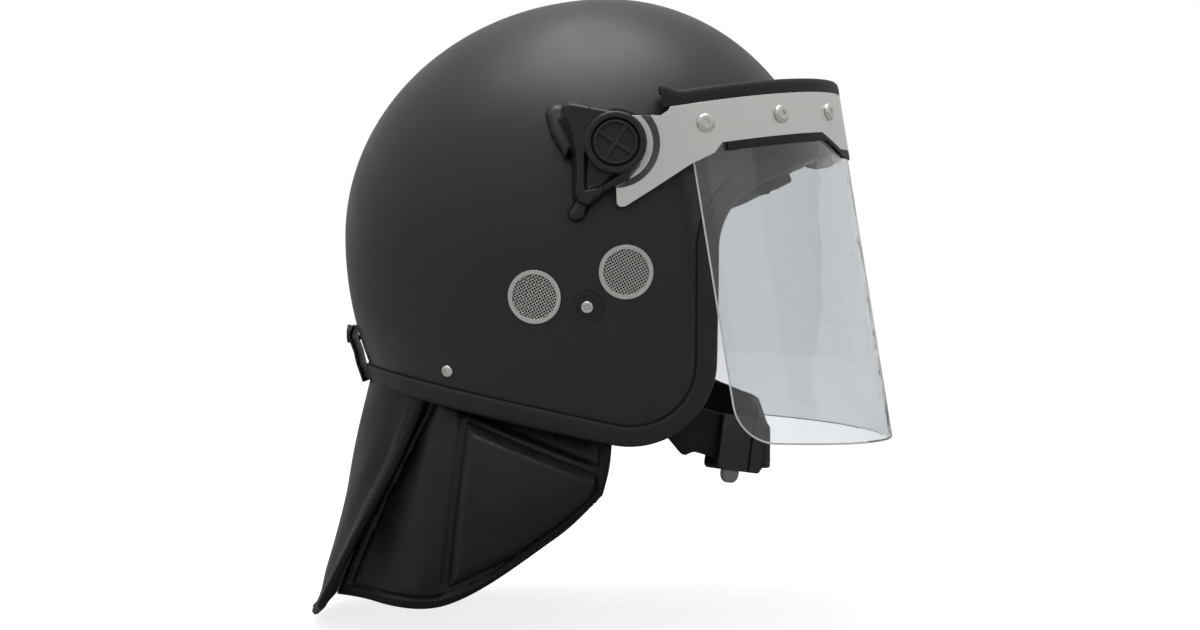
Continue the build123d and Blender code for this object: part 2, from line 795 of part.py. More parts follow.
def make_knob():
    """The left tension knob: a dished disc with two crossed ribs."""
    floor = knob_floor() + knob_floor_gap
    top = floor + knob_depth() + knob_proud
    disc = rod(pivot_plane(), knob_radius, floor, top)
    dish = rod(pivot_plane(), knob_radius - knob_rim, top - knob_dish_depth, top + knob_proud)
    ribs = []
    for turn in (knob_rib_turn, knob_rib_turn + 90):
        bar = Box(
            knob_radius + knob_radius, knob_rib_width, knob_dish_depth - knob_rib_drop,
            align=(Align.CENTER, Align.CENTER, Align.MIN),
        )
        ribs.append(pivot_plane(top - knob_dish_depth) * Rot(0, 0, turn) * bar)
    bars = (ribs[0] + ribs[1]) & rod(pivot_plane(), knob_radius - knob_rim / 2, floor, top)
    knob = disc - dish + bars
    return knob - rod(pivot_plane(), pivot_hole_radius + pivot_running_gap, 0, floor + knob_bore_depth)


# Chin strap and buckle


def strap_path():
    return FilletPolyline(*strap_plan, radius=strap_bend_radius)


def strap_side_face(extra=0.0):
    path = FilletPolyline(*strap_side, radius=strap_side_bend_radius)
    return Plane.YZ * trace(path, line_width=strap_width + extra)


def make_strap():
    """The whole strap, anchor to anchor, as a bent band."""
    ribbon = trace(strap_path(), line_width=strap_thickness)
    tall = extrude(Pos(0, 0, -shell_lower_drop) * ribbon, amount=shell_lower_drop)
    return tall & extrude(strap_side_face(), amount=shell_half_width, both=True)


def buckle_frame():
    """Plane of the buckle on the right run of the strap: X along it, Z out."""
    (x1, y1), (x2, y2) = strap_plan[4], strap_plan[3]
    share = (buckle_y - y1) / (y2 - y1)
    (sy1, sz1), (sy2, sz2) = strap_side[2], strap_side[3]
    z = sz1 + (sz2 - sz1) * (buckle_y - sy1) / (sy2 - sy1)
    fall = (sz2 - sz1) / (sy2 - sy1) * (y2 - y1)
    along = Vector(x2 - x1, y2 - y1, fall)
    out = Vector(y2 - y1, x1 - x2, 0)
    return Plane(origin=(x1 + (x2 - x1) * share, buckle_y, z), x_dir=along, z_dir=out)


def make_straps():
    """The right strap end, and the left strap that runs round the chin."""
    strap = make_strap() - make_anchor_nuts() - make_anchor_screws()
    frame = buckle_frame()
    far = shell_half_width + shell_half_width
    gap_block = frame * Box(strap_thickness, far, far)
    halves = (strap - gap_block).solids()
    halves = sorted(halves, key=lambda s: s.center().X)
    return halves[0], halves[-1]


def buckle_slot():
    room = buckle_slot_gap + buckle_slot_gap
    return buckle_frame() * Box(
        buckle_length + cut_overrun, strap_width + room + buckle_slot_room, strap_thickness + room
    )


def make_buckle():
    """The box-shaped buckle with the slot for the strap and one for the tab."""
    body = Box(buckle_length, buckle_height, buckle_depth)
    body = fillet(body.edges().filter_by(Axis.Z), buckle_corner)
    groove = Pos(buckle_groove_place, 0, buckle_depth / 2) * Box(
        buckle_groove_width, buckle_height + cut_overrun, buckle_groove + buckle_groove
    )
    body = buckle_frame() * (body - groove)
    return body - buckle_slot() - release_slot()


def release_sign():
    """Which way along the buckle's Y axis is down."""
    return -1 if buckle_frame().y_dir.Z > 0 else 1


def release_slot():
    room = release_gap + release_gap
    sign = release_sign()
    depth = release_length - release_reach + release_gap
    centre = sign * (buckle_height / 2 - depth / 2 + cut_overrun / 2)
    return release_location() * Pos(0, centre, 0) * Box(
        release_width + room, depth + cut_overrun, release_thickness + room
    )


def release_location():
    level = strap_thickness / 2 + buckle_slot_gap + (buckle_depth - strap_thickness) / 4
    return buckle_frame() * Pos(-release_set_back, 0, level)


def make_release():
    """The pull tab that opens the buckle."""
    sign = release_sign()
    centre = sign * (buckle_height / 2 + release_reach - release_length / 2)
    tab = Box(release_width, release_length, release_thickness)
    tab = fillet(tab.edges().filter_by(Axis.Z), release_width / 2 - release_gap)
    return release_location() * Pos(0, centre, 0) * tab


def make_chin_pad():
    """The soft pad that wraps the strap under the chin."""
    ribbon = trace(strap_path(), line_width=strap_thickness + chin_pad_thickness)
    room = trace(strap_path(), line_width=strap_thickness + buckle_slot_gap + buckle_slot_gap)
    tall = extrude(Pos(0, 0, -shell_lower_drop) * (ribbon - room), amount=shell_lower_drop)
    side = extrude(strap_side_face(chin_pad_extra), amount=shell_half_width, both=True)
    width = chin_pad_half_width + chin_pad_half_width
    block = Pos(0, -shell_half_width, -shell_lower_drop) * Box(
        width, shell_half_width + shell_half_width, shell_lower_drop + shell_lower_drop
    )
    pad = tall & side & block
    inner = sorted(pad.solids(), key=lambda s: s.center().Y)
    return inner[-1]


# Neck guard


def make_guard_strip():
    """The strip inside the rim that the flaps are sewn to."""
    outside = -shell_wall - trim_inner_leg - strip_gap
    layer = dome(outside) - dome(outside - strip_thickness)
    strip = behind_edge(layer, 0) & side_prism(opening_face(strip_height))
    reach = shell_rear_reach + cut_overrun
    keep = Pos(0, strip_front_y, 0) * Box(
        reach + reach, reach, reach + reach, align=(Align.CENTER, Align.MIN, Align.CENTER)
    )
    hole = rod(guard_spot(), guard_screw_radius + fit_gap, -cut_overrun, cut_overrun)
    return (strip & keep) - hole - mirrored(hole)


def make_guard_screws():
    """The button screws that hold the strip, right through the shell."""
    spot = guard_spot()
    head = rod(spot, guard_screw_head_radius, 0, guard_screw_head_height)
    crown = guard_screw_head_height - fit_gap - fit_gap
    head = fillet(edges_above(head, spot, guard_screw_head_height), crown)
    head = head - rod(spot, rivet_socket_radius, guard_screw_head_height - rivet_socket_depth, cut_overrun)
    under = -shell_wall - trim_inner_leg - strip_gap - strip_thickness
    shank = rod(spot, guard_screw_radius, under - guard_nut_height, 0)
    nut = rod(spot, guard_nut_radius, under - guard_nut_height, under - fit_gap)
    return both_sides(head + shank + nut)


def bent_section(start, middle, end, inward, edge, crown):
    """A crescent section through three outer points, thicker at its middle."""
    inward = inward.normalized()
    inner = [start + inward * edge, middle + inward * crown, end + inward * edge]
    outer_line = ThreePointArc(start, middle, end)
    inner_line = ThreePointArc(*inner)
    lines = [outer_line, Line(end, inner[2]), inner_line, Line(inner[0], start)]
    return make_face([e for line in lines for e in line.edges()])


def under_rim(y):
    """Height of a flap's top face, a small gap below the rim."""
    drop = math.radians(rim_slope)
    return rim_level - guard_top_gap / math.cos(drop) + y * math.tan(drop)


def make_rear_flap():
    """The padded rear flap, curved round the neck at the top and nearly flat below."""
    sections = []
    side, back = rear_flap_top_edge
    edges = [(side, back, under_rim(back)), *rear_flap_edge]
    middles = [(rear_flap_top_middle, under_rim(rear_flap_top_middle)), *rear_flap_middle]
    rows = zip(edges, middles, rear_flap_crown, rear_flap_edge_thickness)
    for (x, y, z), (mid_y, mid_z), crown, edge in rows:
        middle = Vector(0, mid_y, mid_z)
        inward = Vector(0, y - mid_y, z - mid_z)
        sections.append(bent_section(Vector(x, y, z), middle, Vector(-x, y, z), inward, edge, crown))
    return loft(sections)


def make_side_flap():
    """The padded left flap, from the chin back under the rear flap."""
    sections = []
    tops = [(x, y, under_rim(y)) for x, y in side_flap_top]
    rows = zip(tops, side_flap_middle, side_flap_foot, side_flap_crown, side_flap_edge_thickness)
    for top, middle, foot, crown, edge in rows:
        top, middle, foot = Vector(*top), Vector(*middle), Vector(*foot)
        line = foot - top
        inward = (top + foot) * 0.5 - middle
        inward = inward - line.normalized() * inward.dot(line.normalized())
        sections.append(bent_section(top, middle, foot, inward, edge, crown))
    return loft(sections)


def make_raised_panel(flap):
    """The padded front panel on the outside of the left flap."""
    sections = []
    for top, foot, rise in zip(raised_panel_top, raised_panel_foot, raised_panel_rise):
        top, foot = Vector(*top), Vector(*foot)
        middle = (top + foot) * 0.5 + Vector(raised_panel_bulge, 0, 0)
        depth = raised_panel_root + rise
        sections.append(bent_section(top, middle, foot, Vector(-1, 0, 0), raised_panel_root, depth))
    panel = loft(sections) - flap
    return max(panel.solids(), key=lambda solid: solid.volume)


# Goggle strap retainer


def make_retainer():
    """The leather tab behind the shell, closed over the trim by a snap."""
    line = FilletPolyline(*retainer_line, radius=retainer_bend_radius)
    face = Plane.YZ * trace(line, line_width=retainer_thickness)
    return extrude(face, amount=retainer_half_width, both=True)


def snap_plane():
    rear = shell_rear_reach * math.sqrt(1 - (snap_z / shell_lower_drop) ** 2)
    return Plane(origin=(0, rear, snap_z), x_dir=(1, 0, 0), z_dir=(0, 1, 0))


def make_snap_cap():
    """The snap's cap on the outside of the tab."""
    plane = snap_plane()
    outer = retainer_line[1][0] + retainer_thickness / 2
    low = outer - plane.origin.Y
    return rod(plane, snap_cap_radius, low, low + snap_cap_height) - make_retainer()


def make_snap_stud():
    """The snap's stud on the shell."""
    return rod(snap_plane(), snap_stud_radius, -shell_wall / 2, snap_stud_height) - dome(0)


def main():
    os.makedirs("parts", exist_ok=True)
    right_strap, left_strap = make_straps()
    housing = make_housing()
    base = make_pivot_base()
    knob = make_knob()
    ear_pad = make_ear_pad()
    side_flap = make_side_flap()
    raised_panel = make_raised_panel(side_flap)
    parts = {
        "outer_shell": make_shell(make_shell_blank()),
        "rim_trim": make_trim(),
        "impact_liner": make_liner(),
        "crown_pad": make_crown_pad(),
        "brow_pad": make_brow_pad(),
        "nape_pad": make_nape_pad(),
        "ear_pad_left": ear_pad,
        "ear_pad_right": mirrored(ear_pad),
        "ear_vent_rings": make_vent_rings(),
        "ear_vent_meshes": make_vent_meshes(),
        "strap_anchor_washers": make_anchor_washers(),
        "strap_anchor_screws": make_anchor_screws(),
        "strap_anchor_nuts": make_anchor_nuts(),
        "visor_band": make_band(),
        "visor_lens": make_lens(),
        "visor_clamp_strip": make_clamp_strip(),
        "visor_lower_gasket": make_gasket(),
        "visor_top_seal": make_top_seal(),
        "visor_rivets": make_rivets(),
        "visor_rivet_nuts": make_rivet_nuts(),
        "pivot_base_left": base,
        "pivot_base_right": mirrored(base),
        "pivot_housing_left": housing,
        "pivot_housing_right": mirrored(housing),
        "pivot_friction_washers": make_friction_washers(),
        "pivot_screws": make_pivot_screws(),
        "tension_knob_left": knob,
        "tension_knob_right": mirrored(knob),
        "chin_strap_left": left_strap,
        "chin_strap_right": right_strap,
        "chin_pad": make_chin_pad(),
        "buckle_body": make_buckle(),
        "buckle_release_tab": make_release(),
        "neck_guard_strip": make_guard_strip(),
        "neck_guard_screws": make_guard_screws(),
        "neck_flap_rear": make_rear_flap(),
        "neck_flap_left": side_flap,
        "neck_flap_right": mirrored(side_flap),
        "neck_panel_left": raised_panel,
        "neck_panel_right": mirrored(raised_panel),
        "strap_retainer_tab": make_retainer(),
        "strap_retainer_snap_cap": make_snap_cap(),
        "strap_retainer_snap_stud": make_snap_stud(),
    }
    for name, solid in parts.items():
        export_step(solid, f"parts/{name}.step")


main()
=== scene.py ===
"""Dresses a riot helmet: shell, ear vents, visor, pivots, chin strap and neck guard."""

import logging
import math
from dataclasses import dataclass
from enum import Enum
from typing import Any, Sequence

import bpy
import numpy as np
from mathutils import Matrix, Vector


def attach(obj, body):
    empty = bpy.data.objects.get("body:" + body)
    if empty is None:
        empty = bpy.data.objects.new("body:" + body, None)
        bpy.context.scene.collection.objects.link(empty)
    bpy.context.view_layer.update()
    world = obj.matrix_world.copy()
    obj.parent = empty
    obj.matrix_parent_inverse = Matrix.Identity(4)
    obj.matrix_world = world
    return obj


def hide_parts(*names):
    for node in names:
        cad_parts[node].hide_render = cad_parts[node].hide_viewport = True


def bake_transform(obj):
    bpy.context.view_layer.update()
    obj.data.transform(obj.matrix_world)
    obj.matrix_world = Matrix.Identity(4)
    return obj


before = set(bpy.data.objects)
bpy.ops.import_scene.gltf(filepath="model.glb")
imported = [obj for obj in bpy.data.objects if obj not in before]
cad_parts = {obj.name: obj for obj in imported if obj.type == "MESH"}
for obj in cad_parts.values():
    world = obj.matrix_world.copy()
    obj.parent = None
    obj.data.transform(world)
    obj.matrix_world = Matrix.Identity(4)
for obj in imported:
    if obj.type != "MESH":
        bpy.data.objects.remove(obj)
log = logging.getLogger("helmet")

MM = 0.001
NOISE_LOW, NOISE_HIGH = 0.3, 0.7  # a noise texture seldom leaves this range
WAVE_TURN = 20.0  # a wave texture turns by this many radians per unit of its scaled place
ASKEW = np.array([0.31, 0.2, 0.93])  # a direction that no thin line on the helmet follows
STITCH_PITCH = 3.6 * MM
STITCH_LENGTH = 2.7 * MM
STITCH_ARCH = 0.25 * MM
THREAD_RADIUS = 0.34 * MM

Points = np.ndarray
Faces = list[tuple[int, ...]]
Solid = tuple[Points, Faces]
Flat = tuple[float, float]
Outline = tuple[Flat, ...]
Stations = tuple[tuple[float, ...], ...]
Sockets = dict[Any, Any]


class Body(Enum):
    """The helmet's moving bodies, by the name that the frame gives them."""

    HELMET = "helmet"
    VISOR = "visor"
    REAR_FLAP = "rear_flap"
    LEFT_FLAP = "left_flap"
    RIGHT_FLAP = "right_flap"
    RETAINER = "retainer"


class Side(Enum):
    """A side of the helmet, with the sign of its X."""

    LEFT = 1.0
    RIGHT = -1.0

    @property
    def word(self) -> str:
        """The side's name in lower case."""
        return self.name.lower()


# Colour, nodes and finishes


def linear(code: str) -> tuple[float, float, float, float]:
    """Turns an sRGB hex colour into the linear values that a shader takes.

    Args:
        code: The colour as "#rrggbb".

    Returns:
        Linear red, green and blue, and an alpha of 1.
    """
    parts = [int(code[i : i + 2], 16) / 255 for i in (1, 3, 5)]
    red, green, blue = (c / 12.92 if c <= 0.04045 else ((c + 0.055) / 1.055) ** 2.4 for c in parts)
    return red, green, blue, 1.0


def per_metre(size_mm: float) -> float:
    """How many times a pattern of a real size, in millimetres, repeats in a metre."""
    return 1.0 / (size_mm * MM)


def fresh_tree(owner: Any) -> Any:
    """The emptied node tree of a material or world."""
    owner.use_nodes = True
    owner.node_tree.nodes.clear()
    return owner.node_tree


def add_node(tree: Any, kind: str, settings: Sockets | None = None, links: Sockets | None = None) -> Any:
    """Adds one node with its settings and its incoming links.

    Args:
        tree: The node tree.
        kind: The node's type, such as "ShaderNodeBump".
        settings: Socket values by socket name or number, and properties by name.
        links: The output socket that feeds each named or numbered input.

    Returns:
        The new node.
    """
    node = tree.nodes.new(kind)
    for key, value in (settings or {}).items():
        if key == "stops":
            for place, (position, colour) in enumerate(value):
                ramp = node.color_ramp.elements
                stop = ramp[place] if place < 2 else ramp.new(position)
                stop.position, stop.color = position, colour
        elif isinstance(key, int) or key in node.inputs:
            node.inputs[key].default_value = value
        else:
            setattr(node, key, value)
    for key, source in (links or {}).items():
        tree.links.new(source, node.inputs[key])
    return node


@dataclass
class Skin:
    """A material whose nodes are being added."""

    tree: Any
    shader: Any
    place: Any
    normal: Any = None

    def bump(self, height: Any, depth_mm: float, strength: float = 1.0) -> None:
        """Feeds a height pattern of a real depth into the surface's normal, on top of what is there.

        Args:
            height: The socket that gives the height, from 0 to 1.
            depth_mm: The real depth of the pattern, negative where it goes in.
            strength: How much of it shows.
        """
        links = {"Height": height}
        if self.normal:
            links["Normal"] = self.normal
        settings = {"Distance": depth_mm * MM, "Strength": strength}
        self.normal = add_node(self.tree, "ShaderNodeBump", settings, links).outputs["Normal"]
        self.tree.links.new(self.normal, self.shader.inputs["Normal"])

    def vary(self, source: Any, middle: float, spread: float) -> None:
        """Lets the roughness wander with a pattern.

        Args:
            source: The socket that gives the pattern.
            middle: The roughness to wander about.
            spread: How far it goes to either side.
        """
        low, high = middle - spread, middle + spread
        ends = {"From Min": NOISE_LOW, "From Max": NOISE_HIGH, "To Min": low, "To Max": high}
        ranged = add_node(self.tree, "ShaderNodeMapRange", ends, {"Value": source})
        self.tree.links.new(ranged.outputs["Result"], self.shader.inputs["Roughness"])

    def tint(self, source: Any, *stops: tuple[float, str]) -> None:
        """Colours the surface by a pattern.

        Args:
            source: The socket that gives the pattern.
            stops: Values of the pattern, each with its hex colour.
        """
        colours = [(value, linear(code)) for value, code in stops]
        ramp = add_node(self.tree, "ShaderNodeValToRGB", {"stops": colours}, {"Fac": source})
        self.tree.links.new(ramp.outputs["Color"], self.shader.inputs["Base Color"])


@dataclass(frozen=True)
class Finish:
    """A plain finish: one colour and gloss, and what every other finish starts from."""

    name: str
    colour: str
    roughness: float
    metallic: float = 0.0
    specular: float = 0.5
    edge_mm: float = 0.0

    def sockets(self) -> Sockets:
        """The values that are the same all over the surface."""
        return {
            "Base Color": linear(self.colour),
            "Roughness": self.roughness,
            "Metallic": self.metallic,
            "Specular IOR Level": self.specular,
        }

    def pattern(self, skin: Skin) -> None:
        """Adds what varies over the surface. A plain finish adds nothing."""

    def material(self) -> Any:
        """Makes the material once and gives the same one afterwards.

        Returns:
            The Blender material.
        """
        made = bpy.data.materials.get(self.name)
        if made:
            return made
        made = bpy.data.materials.new(self.name)
        tree = fresh_tree(made)
        shader = add_node(tree, "ShaderNodeBsdfPrincipled", self.sockets())
        add_node(tree, "ShaderNodeOutputMaterial", links={"Surface": shader.outputs["BSDF"]})
        skin = Skin(tree, shader, add_node(tree, "ShaderNodeTexCoord").outputs["Object"])
        if self.edge_mm:
            eased = add_node(tree, "ShaderNodeBevel", {"samples": 4, "Radius": self.edge_mm * MM})
            skin.normal = eased.outputs["Normal"]
            tree.links.new(skin.normal, shader.inputs["Normal"])
        self.pattern(skin)
        return made


@dataclass(frozen=True)
class Moulded(Finish):
    """Moulded plastic, rubber or plated metal with a fine even grain that softens its highlights."""

    grain_mm: float = 0.9
    grain_depth_mm: float = 0.02
    mottle_mm: float = 30.0
    spread: float = 0.04

    def pattern(self, skin: Skin) -> None:
        """Adds the fine grain and a slow change of gloss.

        Args:
            skin: The material being made.
        """
        at = {"Vector": skin.place}
        fine, slow = per_metre(self.grain_mm), per_metre(self.mottle_mm)
        grain = add_node(skin.tree, "ShaderNodeTexNoise", {"Scale": fine, "Detail": 3.0}, at)
        mottle = add_node(skin.tree, "ShaderNodeTexNoise", {"Scale": slow, "Detail": 2.0}, at)
        skin.bump(grain.outputs["Fac"], self.grain_depth_mm)
        skin.vary(mottle.outputs["Fac"], self.roughness, self.spread)


@dataclass(frozen=True)
class BrushedSheet(Finish):
    """Stainless sheet brushed along its length: fine scratches that draw each highlight out across them."""

    scratch_mm: float = 0.35
    scratch_length_mm: float = 40.0
    scratch_depth_mm: float = 0.006
    spread: float = 0.06
    stretch: float = 0.45

    def sockets(self) -> Sockets:
        """The plain values, with the stretch of highlights that brushing gives."""
        return {**super().sockets(), "Anisotropic": self.stretch}

    def pattern(self, skin: Skin) -> None:
        """Adds scratches that run level and are fine in Z.

        Args:
            skin: The material being made.
        """
        long, fine = per_metre(self.scratch_length_mm), per_metre(self.scratch_mm)
        drawn = add_node(skin.tree, "ShaderNodeMapping", {"Scale": (long, long, fine)}, {"Vector": skin.place})
        at = {"Vector": drawn.outputs["Vector"]}
        scratches = add_node(skin.tree, "ShaderNodeTexNoise", {"Scale": 1.0, "Detail": 4.0}, at).outputs["Fac"]
        skin.bump(scratches, self.scratch_depth_mm)
        skin.vary(scratches, self.roughness, self.spread)


@dataclass(frozen=True)
class CoatedLeather(Finish):
    """Split leather with a pressed polyurethane coat: small pebbles with creases between, satin on top."""

    pebble_mm: float = 1.6
    pebble_depth_mm: float = 0.12
    crease_mm: float = 22.0
    crease_depth_mm: float = 0.35
    crease_share: float = 0.8
    spread: float = 0.08
    # The paler colour of the fold tops: wear with painted sheen
    wear_and_sheen: str = "#232426"

    def pattern(self, skin: Skin) -> None:
        """Adds pebbles, soft creases and a paler top on the rises of the creases: wear with painted sheen.

        Args:
            skin: The material being made.
        """
        at = {"Vector": skin.place}
        cells = {"feature": "SMOOTH_F1", "Scale": per_metre(self.pebble_mm), "Smoothness": 0.6}
        folds = {"Scale": per_metre(self.crease_mm), "Detail": 5.0, "Roughness": 0.6}
        pebble = add_node(skin.tree, "ShaderNodeTexVoronoi", cells, at).outputs["Distance"]
        crease = add_node(skin.tree, "ShaderNodeTexNoise", folds, at).outputs["Fac"]
        skin.bump(crease, self.crease_depth_mm, self.crease_share)
        skin.bump(pebble, -self.pebble_depth_mm)
        skin.vary(crease, self.roughness, self.spread)
        # The high places of the crease pattern are tinted paler: painted sheen on the fold tops, with wear
        skin.tint(crease, (0.35, self.colour), (0.75, self.wear_and_sheen))


@dataclass(frozen=True)
class WovenTape(Finish):
    """Woven nylon webbing: rows of small picks across the tape, dull with a little sheen."""

    pick_mm: float = 8.168  # real picks are about 1.3 mm apart, too fine to show from a step away
    pick_depth_mm: float = 0.25

    def sockets(self) -> Sockets:
        """The plain values, with the sheen of fine filaments."""
        return {**super().sockets(), "Sheen Weight": 0.15, "Sheen Roughness": 0.4}

    def pattern(self, skin: Skin) -> None:
        """Adds the picks as two crossed waves.

        Args:
            skin: The material being made.
        """
        scale = math.tau / WAVE_TURN * per_metre(self.pick_mm)
        heights = {}
        for place, direction in enumerate(("X", "Z")):
            settings = {"wave_profile": "SIN", "bands_direction": direction, "Scale": scale, "Distortion": 0.6}
            wave = add_node(skin.tree, "ShaderNodeTexWave", settings, {"Vector": skin.place})
            heights[place] = wave.outputs["Fac"]
        weave = add_node(skin.tree, "ShaderNodeMath", {"operation": "MAXIMUM"}, heights)
        skin.bump(weave.outputs["Value"], self.pick_depth_mm)


@dataclass(frozen=True)
class BrushedKnit(Finish):
    """Brushed nylon knit over foam: fine loops under a soft nap, no gloss, and pale where it turns away."""

    loop_mm: float = 1.1
    loop_depth_mm: float = 0.2
    nap_mm: float = 9.0
    nap_colour: str = "#26272a"
    sheen_colour: str = "#6a6c70"

    def sockets(self) -> Sockets:
        """The plain values, with the nap's sheen."""
        sheen = {"Sheen Weight": 0.3, "Sheen Roughness": 0.5, "Sheen Tint": linear(self.sheen_colour)}
        return {**super().sockets(), **sheen}

    def pattern(self, skin: Skin) -> None:
        """Adds the loops and a cloudy nap.

        Args:
            skin: The material being made.
        """
        at = {"Vector": skin.place}
        loops = add_node(skin.tree, "ShaderNodeTexVoronoi", {"Scale": per_metre(self.loop_mm)}, at)
        nap = add_node(skin.tree, "ShaderNodeTexNoise", {"Scale": per_metre(self.nap_mm), "Detail": 4.0}, at)
        skin.bump(loops.outputs["Distance"], -self.loop_depth_mm)
        skin.tint(nap.outputs["Fac"], (0.3, self.colour), (0.8, self.nap_colour))


@dataclass(frozen=True)
class BeadFoam(Finish):
    """Moulded expanded polystyrene, painted black: pressed beads with fine joints between."""

    bead_mm: float = 3.0
    joint_share: float = 0.12
    joint_depth_mm: float = 0.25

    def pattern(self, skin: Skin) -> None:
        """Adds the bead joints.

        Args:
            skin: The material being made.
        """
        cells = {"feature": "DISTANCE_TO_EDGE", "Scale": per_metre(self.bead_mm)}
        beads = add_node(skin.tree, "ShaderNodeTexVoronoi", cells, {"Vector": skin.place}).outputs["Distance"]
        ends = {"From Max": self.joint_share, "To Max": 1.0}
        joints = add_node(skin.tree, "ShaderNodeMapRange", ends, {"Value": beads})
        skin.bump(joints.outputs["Result"], self.joint_depth_mm)


@dataclass(frozen=True)
class ClearSheet(Finish):
    """Thermoformed polycarbonate, 3 mm, hard coated: clear with a cool grey cast where two walls overlap."""

    index: float = 1.585

    def sockets(self) -> Sockets:
        """The plain values, with full transmission."""
        return {**super().sockets(), "Transmission Weight": 1.0, "IOR": self.index}


class Finishes:
    """Every finish on the helmet."""

    # Matt black with one wide soft highlight over the crown
    shell = Moulded("matt_moulded_abs", "#1f2022", 0.42, specular=0.42, grain_mm=1.4, edge_mm=0.4)
    # A shade duller than the shell, so that the rim shows as a border
    trim = Moulded("extruded_rubber", "#202123", 0.55, specular=0.38, grain_mm=1.0)
    # The dullest black, a dark line above and below the steel
    seal = Moulded("moulded_rubber_seal", "#17181a", 0.6, specular=0.35, edge_mm=0.5)
    # Glassy black with small bright edges round the pivot and the buckle
    nylon = Moulded(
        "moulded_glass_nylon", "#111213", 0.4, specular=0.48, grain_mm=0.8, grain_depth_mm=0.03, edge_mm=0.5,
    )
    # A little brighter than its housing, so that the ribs can be told apart
    knob = Moulded("moulded_knob_nylon", "#191a1c", 0.38, specular=0.45, grain_mm=0.7, edge_mm=0.35)
    # Light grey, the one piece of the strap that is meant to be found by eye
    pull = Moulded("moulded_acetal_grey", "#6f7174", 0.45, specular=0.45, edge_mm=0.4)
    # Satin grey steel, pale where the studio is pale
    band = BrushedSheet("brushed_stainless_sheet", "#e6e5e2", 0.4, metallic=1.0, edge_mm=0.25)
    # The same steel behind the lens, a shade darker
    strip = BrushedSheet("plain_stainless_strip", "#c9c8c5", 0.4, metallic=1.0, edge_mm=0.2)
    # Bright round heads with a sharp small highlight
    rivet = Moulded(
        "nickel_plated_steel", "#d8d7d3", 0.2, metallic=1.0, grain_mm=2.5, grain_depth_mm=0.005, edge_mm=0.3,
    )
    # Softer than the screws, a pale even ring
    ring = Moulded(
        "turned_nickel_ring", "#d6d6d2", 0.3, metallic=1.0, grain_mm=1.5, grain_depth_mm=0.01, edge_mm=0.3,
    )
    # Pale wire over the dark cloth of painted shade, which reads as a fine grey net
    wire = Moulded(
        "woven_stainless_wire", "#e0dfdb", 0.32, metallic=1.0, grain_mm=0.6, grain_depth_mm=0.01,
    )
    # Near black, paler on the tops of folds: a painted satin sheen with wear
    leather = CoatedLeather("coated_leather", "#0d0e0f", 0.44, specular=0.3, wear_and_sheen="#151617")
    # Blacker than the flap that it borders: painted shade on the turned border
    binding_painted_shade = CoatedLeather(
        "leather_binding_painted_shade", "#060607", 0.5, specular=0.22, pebble_mm=1.2, wear_and_sheen="#0a0a0b",
    )
    # Round dull threads that catch a little light
    thread = Moulded("bonded_nylon_thread", "#17181a", 0.55, grain_mm=0.4)
    # Dull ribbed tape
    webbing = WovenTape("woven_nylon_webbing", "#111213", 0.8, specular=0.3)
    # Flat dark cloth behind the wire: painted shade where the vent's hole would be dark
    cloth = Finish("dark_cloth_painted_shade", "#17181a", 0.95, specular=0.15)
    # Soft black with no highlight
    knit = BrushedKnit("brushed_knit", "#141517", 0.95, specular=0.2)
    # Dull black with a fine pattern of cells
    foam = BeadFoam("expanded_bead_foam", "#191a1b", 0.85, specular=0.25)
    # Clear, with crisp reflections
    clear = ClearSheet("hard_coated_polycarbonate", "#dcdfe1", 0.015)
    # A thin pale line round the lens: a painted highlight for the light along its cut edge
    lens_edge_highlight = Finish("polycarbonate_edge_painted_highlight", "#e9eef0", 0.25, specular=0.6)


# Meshes


def unit(vectors: Points) -> Points:
    """Vectors of length 1 in the same directions."""
    return vectors / np.maximum(np.linalg.norm(vectors, axis=-1, keepdims=True), 1e-12)


def smooth(low: float, high: float, value: Points) -> Points:
    """Rises from 0 at low to 1 at high with a level start and end."""
    share = np.clip((value - low) / (high - low), 0, 1)
    return share * share * (3 - 2 * share)


def ridge(value: Points, height: float, middle: float, width: float) -> Points:
    """A bell-shaped ridge about a middle, or a furrow where its height is negative."""
    return height * np.exp(-(((value - middle) / width) ** 2))


def full_turn(count: int) -> Points:
    """Even angles round a circle."""
    return np.arange(count) * math.tau / count


def walked(line: Points) -> Points:
    """How far each point lies along a line, or along each column of a grid."""
    steps = np.linalg.norm(np.diff(line, axis=0), axis=-1)
    return np.concatenate([np.zeros_like(steps[:1]), np.cumsum(steps, axis=0)])


def resample(line: Points, count: int) -> Points:
    """Spreads points evenly along an open line.

    Args:
        line: The line's points.
        count: How many points to give back, both ends among them.

    Returns:
        The even points.
    """
    along = walked(line)
    wanted = np.linspace(0, along[-1], count)
    return np.stack([np.interp(wanted, along, line[:, i]) for i in range(line.shape[1])], axis=1)


def rounded_path(points: Sequence[Sequence[float]], radii: Sequence[float], steps: int = 40) -> Points:
    """A flat path of straight runs with an arc at each corner.

    Args:
        points: The corners and the two ends.
        radii: The radius at each corner.
        steps: How many points an arc has.

    Returns:
        Points close together along the path.
    """
    corners = [np.array(p, float) for p in points]
    line = [corners[0]]
    for before, corner, after, radius in zip(corners, corners[1:], corners[2:], radii):
        back, ahead = unit(before - corner), unit(after - corner)
        half = math.acos(float(np.clip(back @ ahead, -1, 1))) / 2
        centre = corner + unit(back + ahead) * radius / math.sin(half)
        start, end = corner + back * radius / math.tan(half), corner + ahead * radius / math.tan(half)
        first, last = start - centre, end - centre
        turn = math.atan2(first[0] * last[1] - first[1] * last[0], float(first @ last))
        for share in np.linspace(0, 1, steps):
            c, s = math.cos(turn * share), math.sin(turn * share)
            line.append(centre + np.array([first[0] * c - first[1] * s, first[0] * s + first[1] * c]))
    line.append(corners[-1])
    return np.array(line)


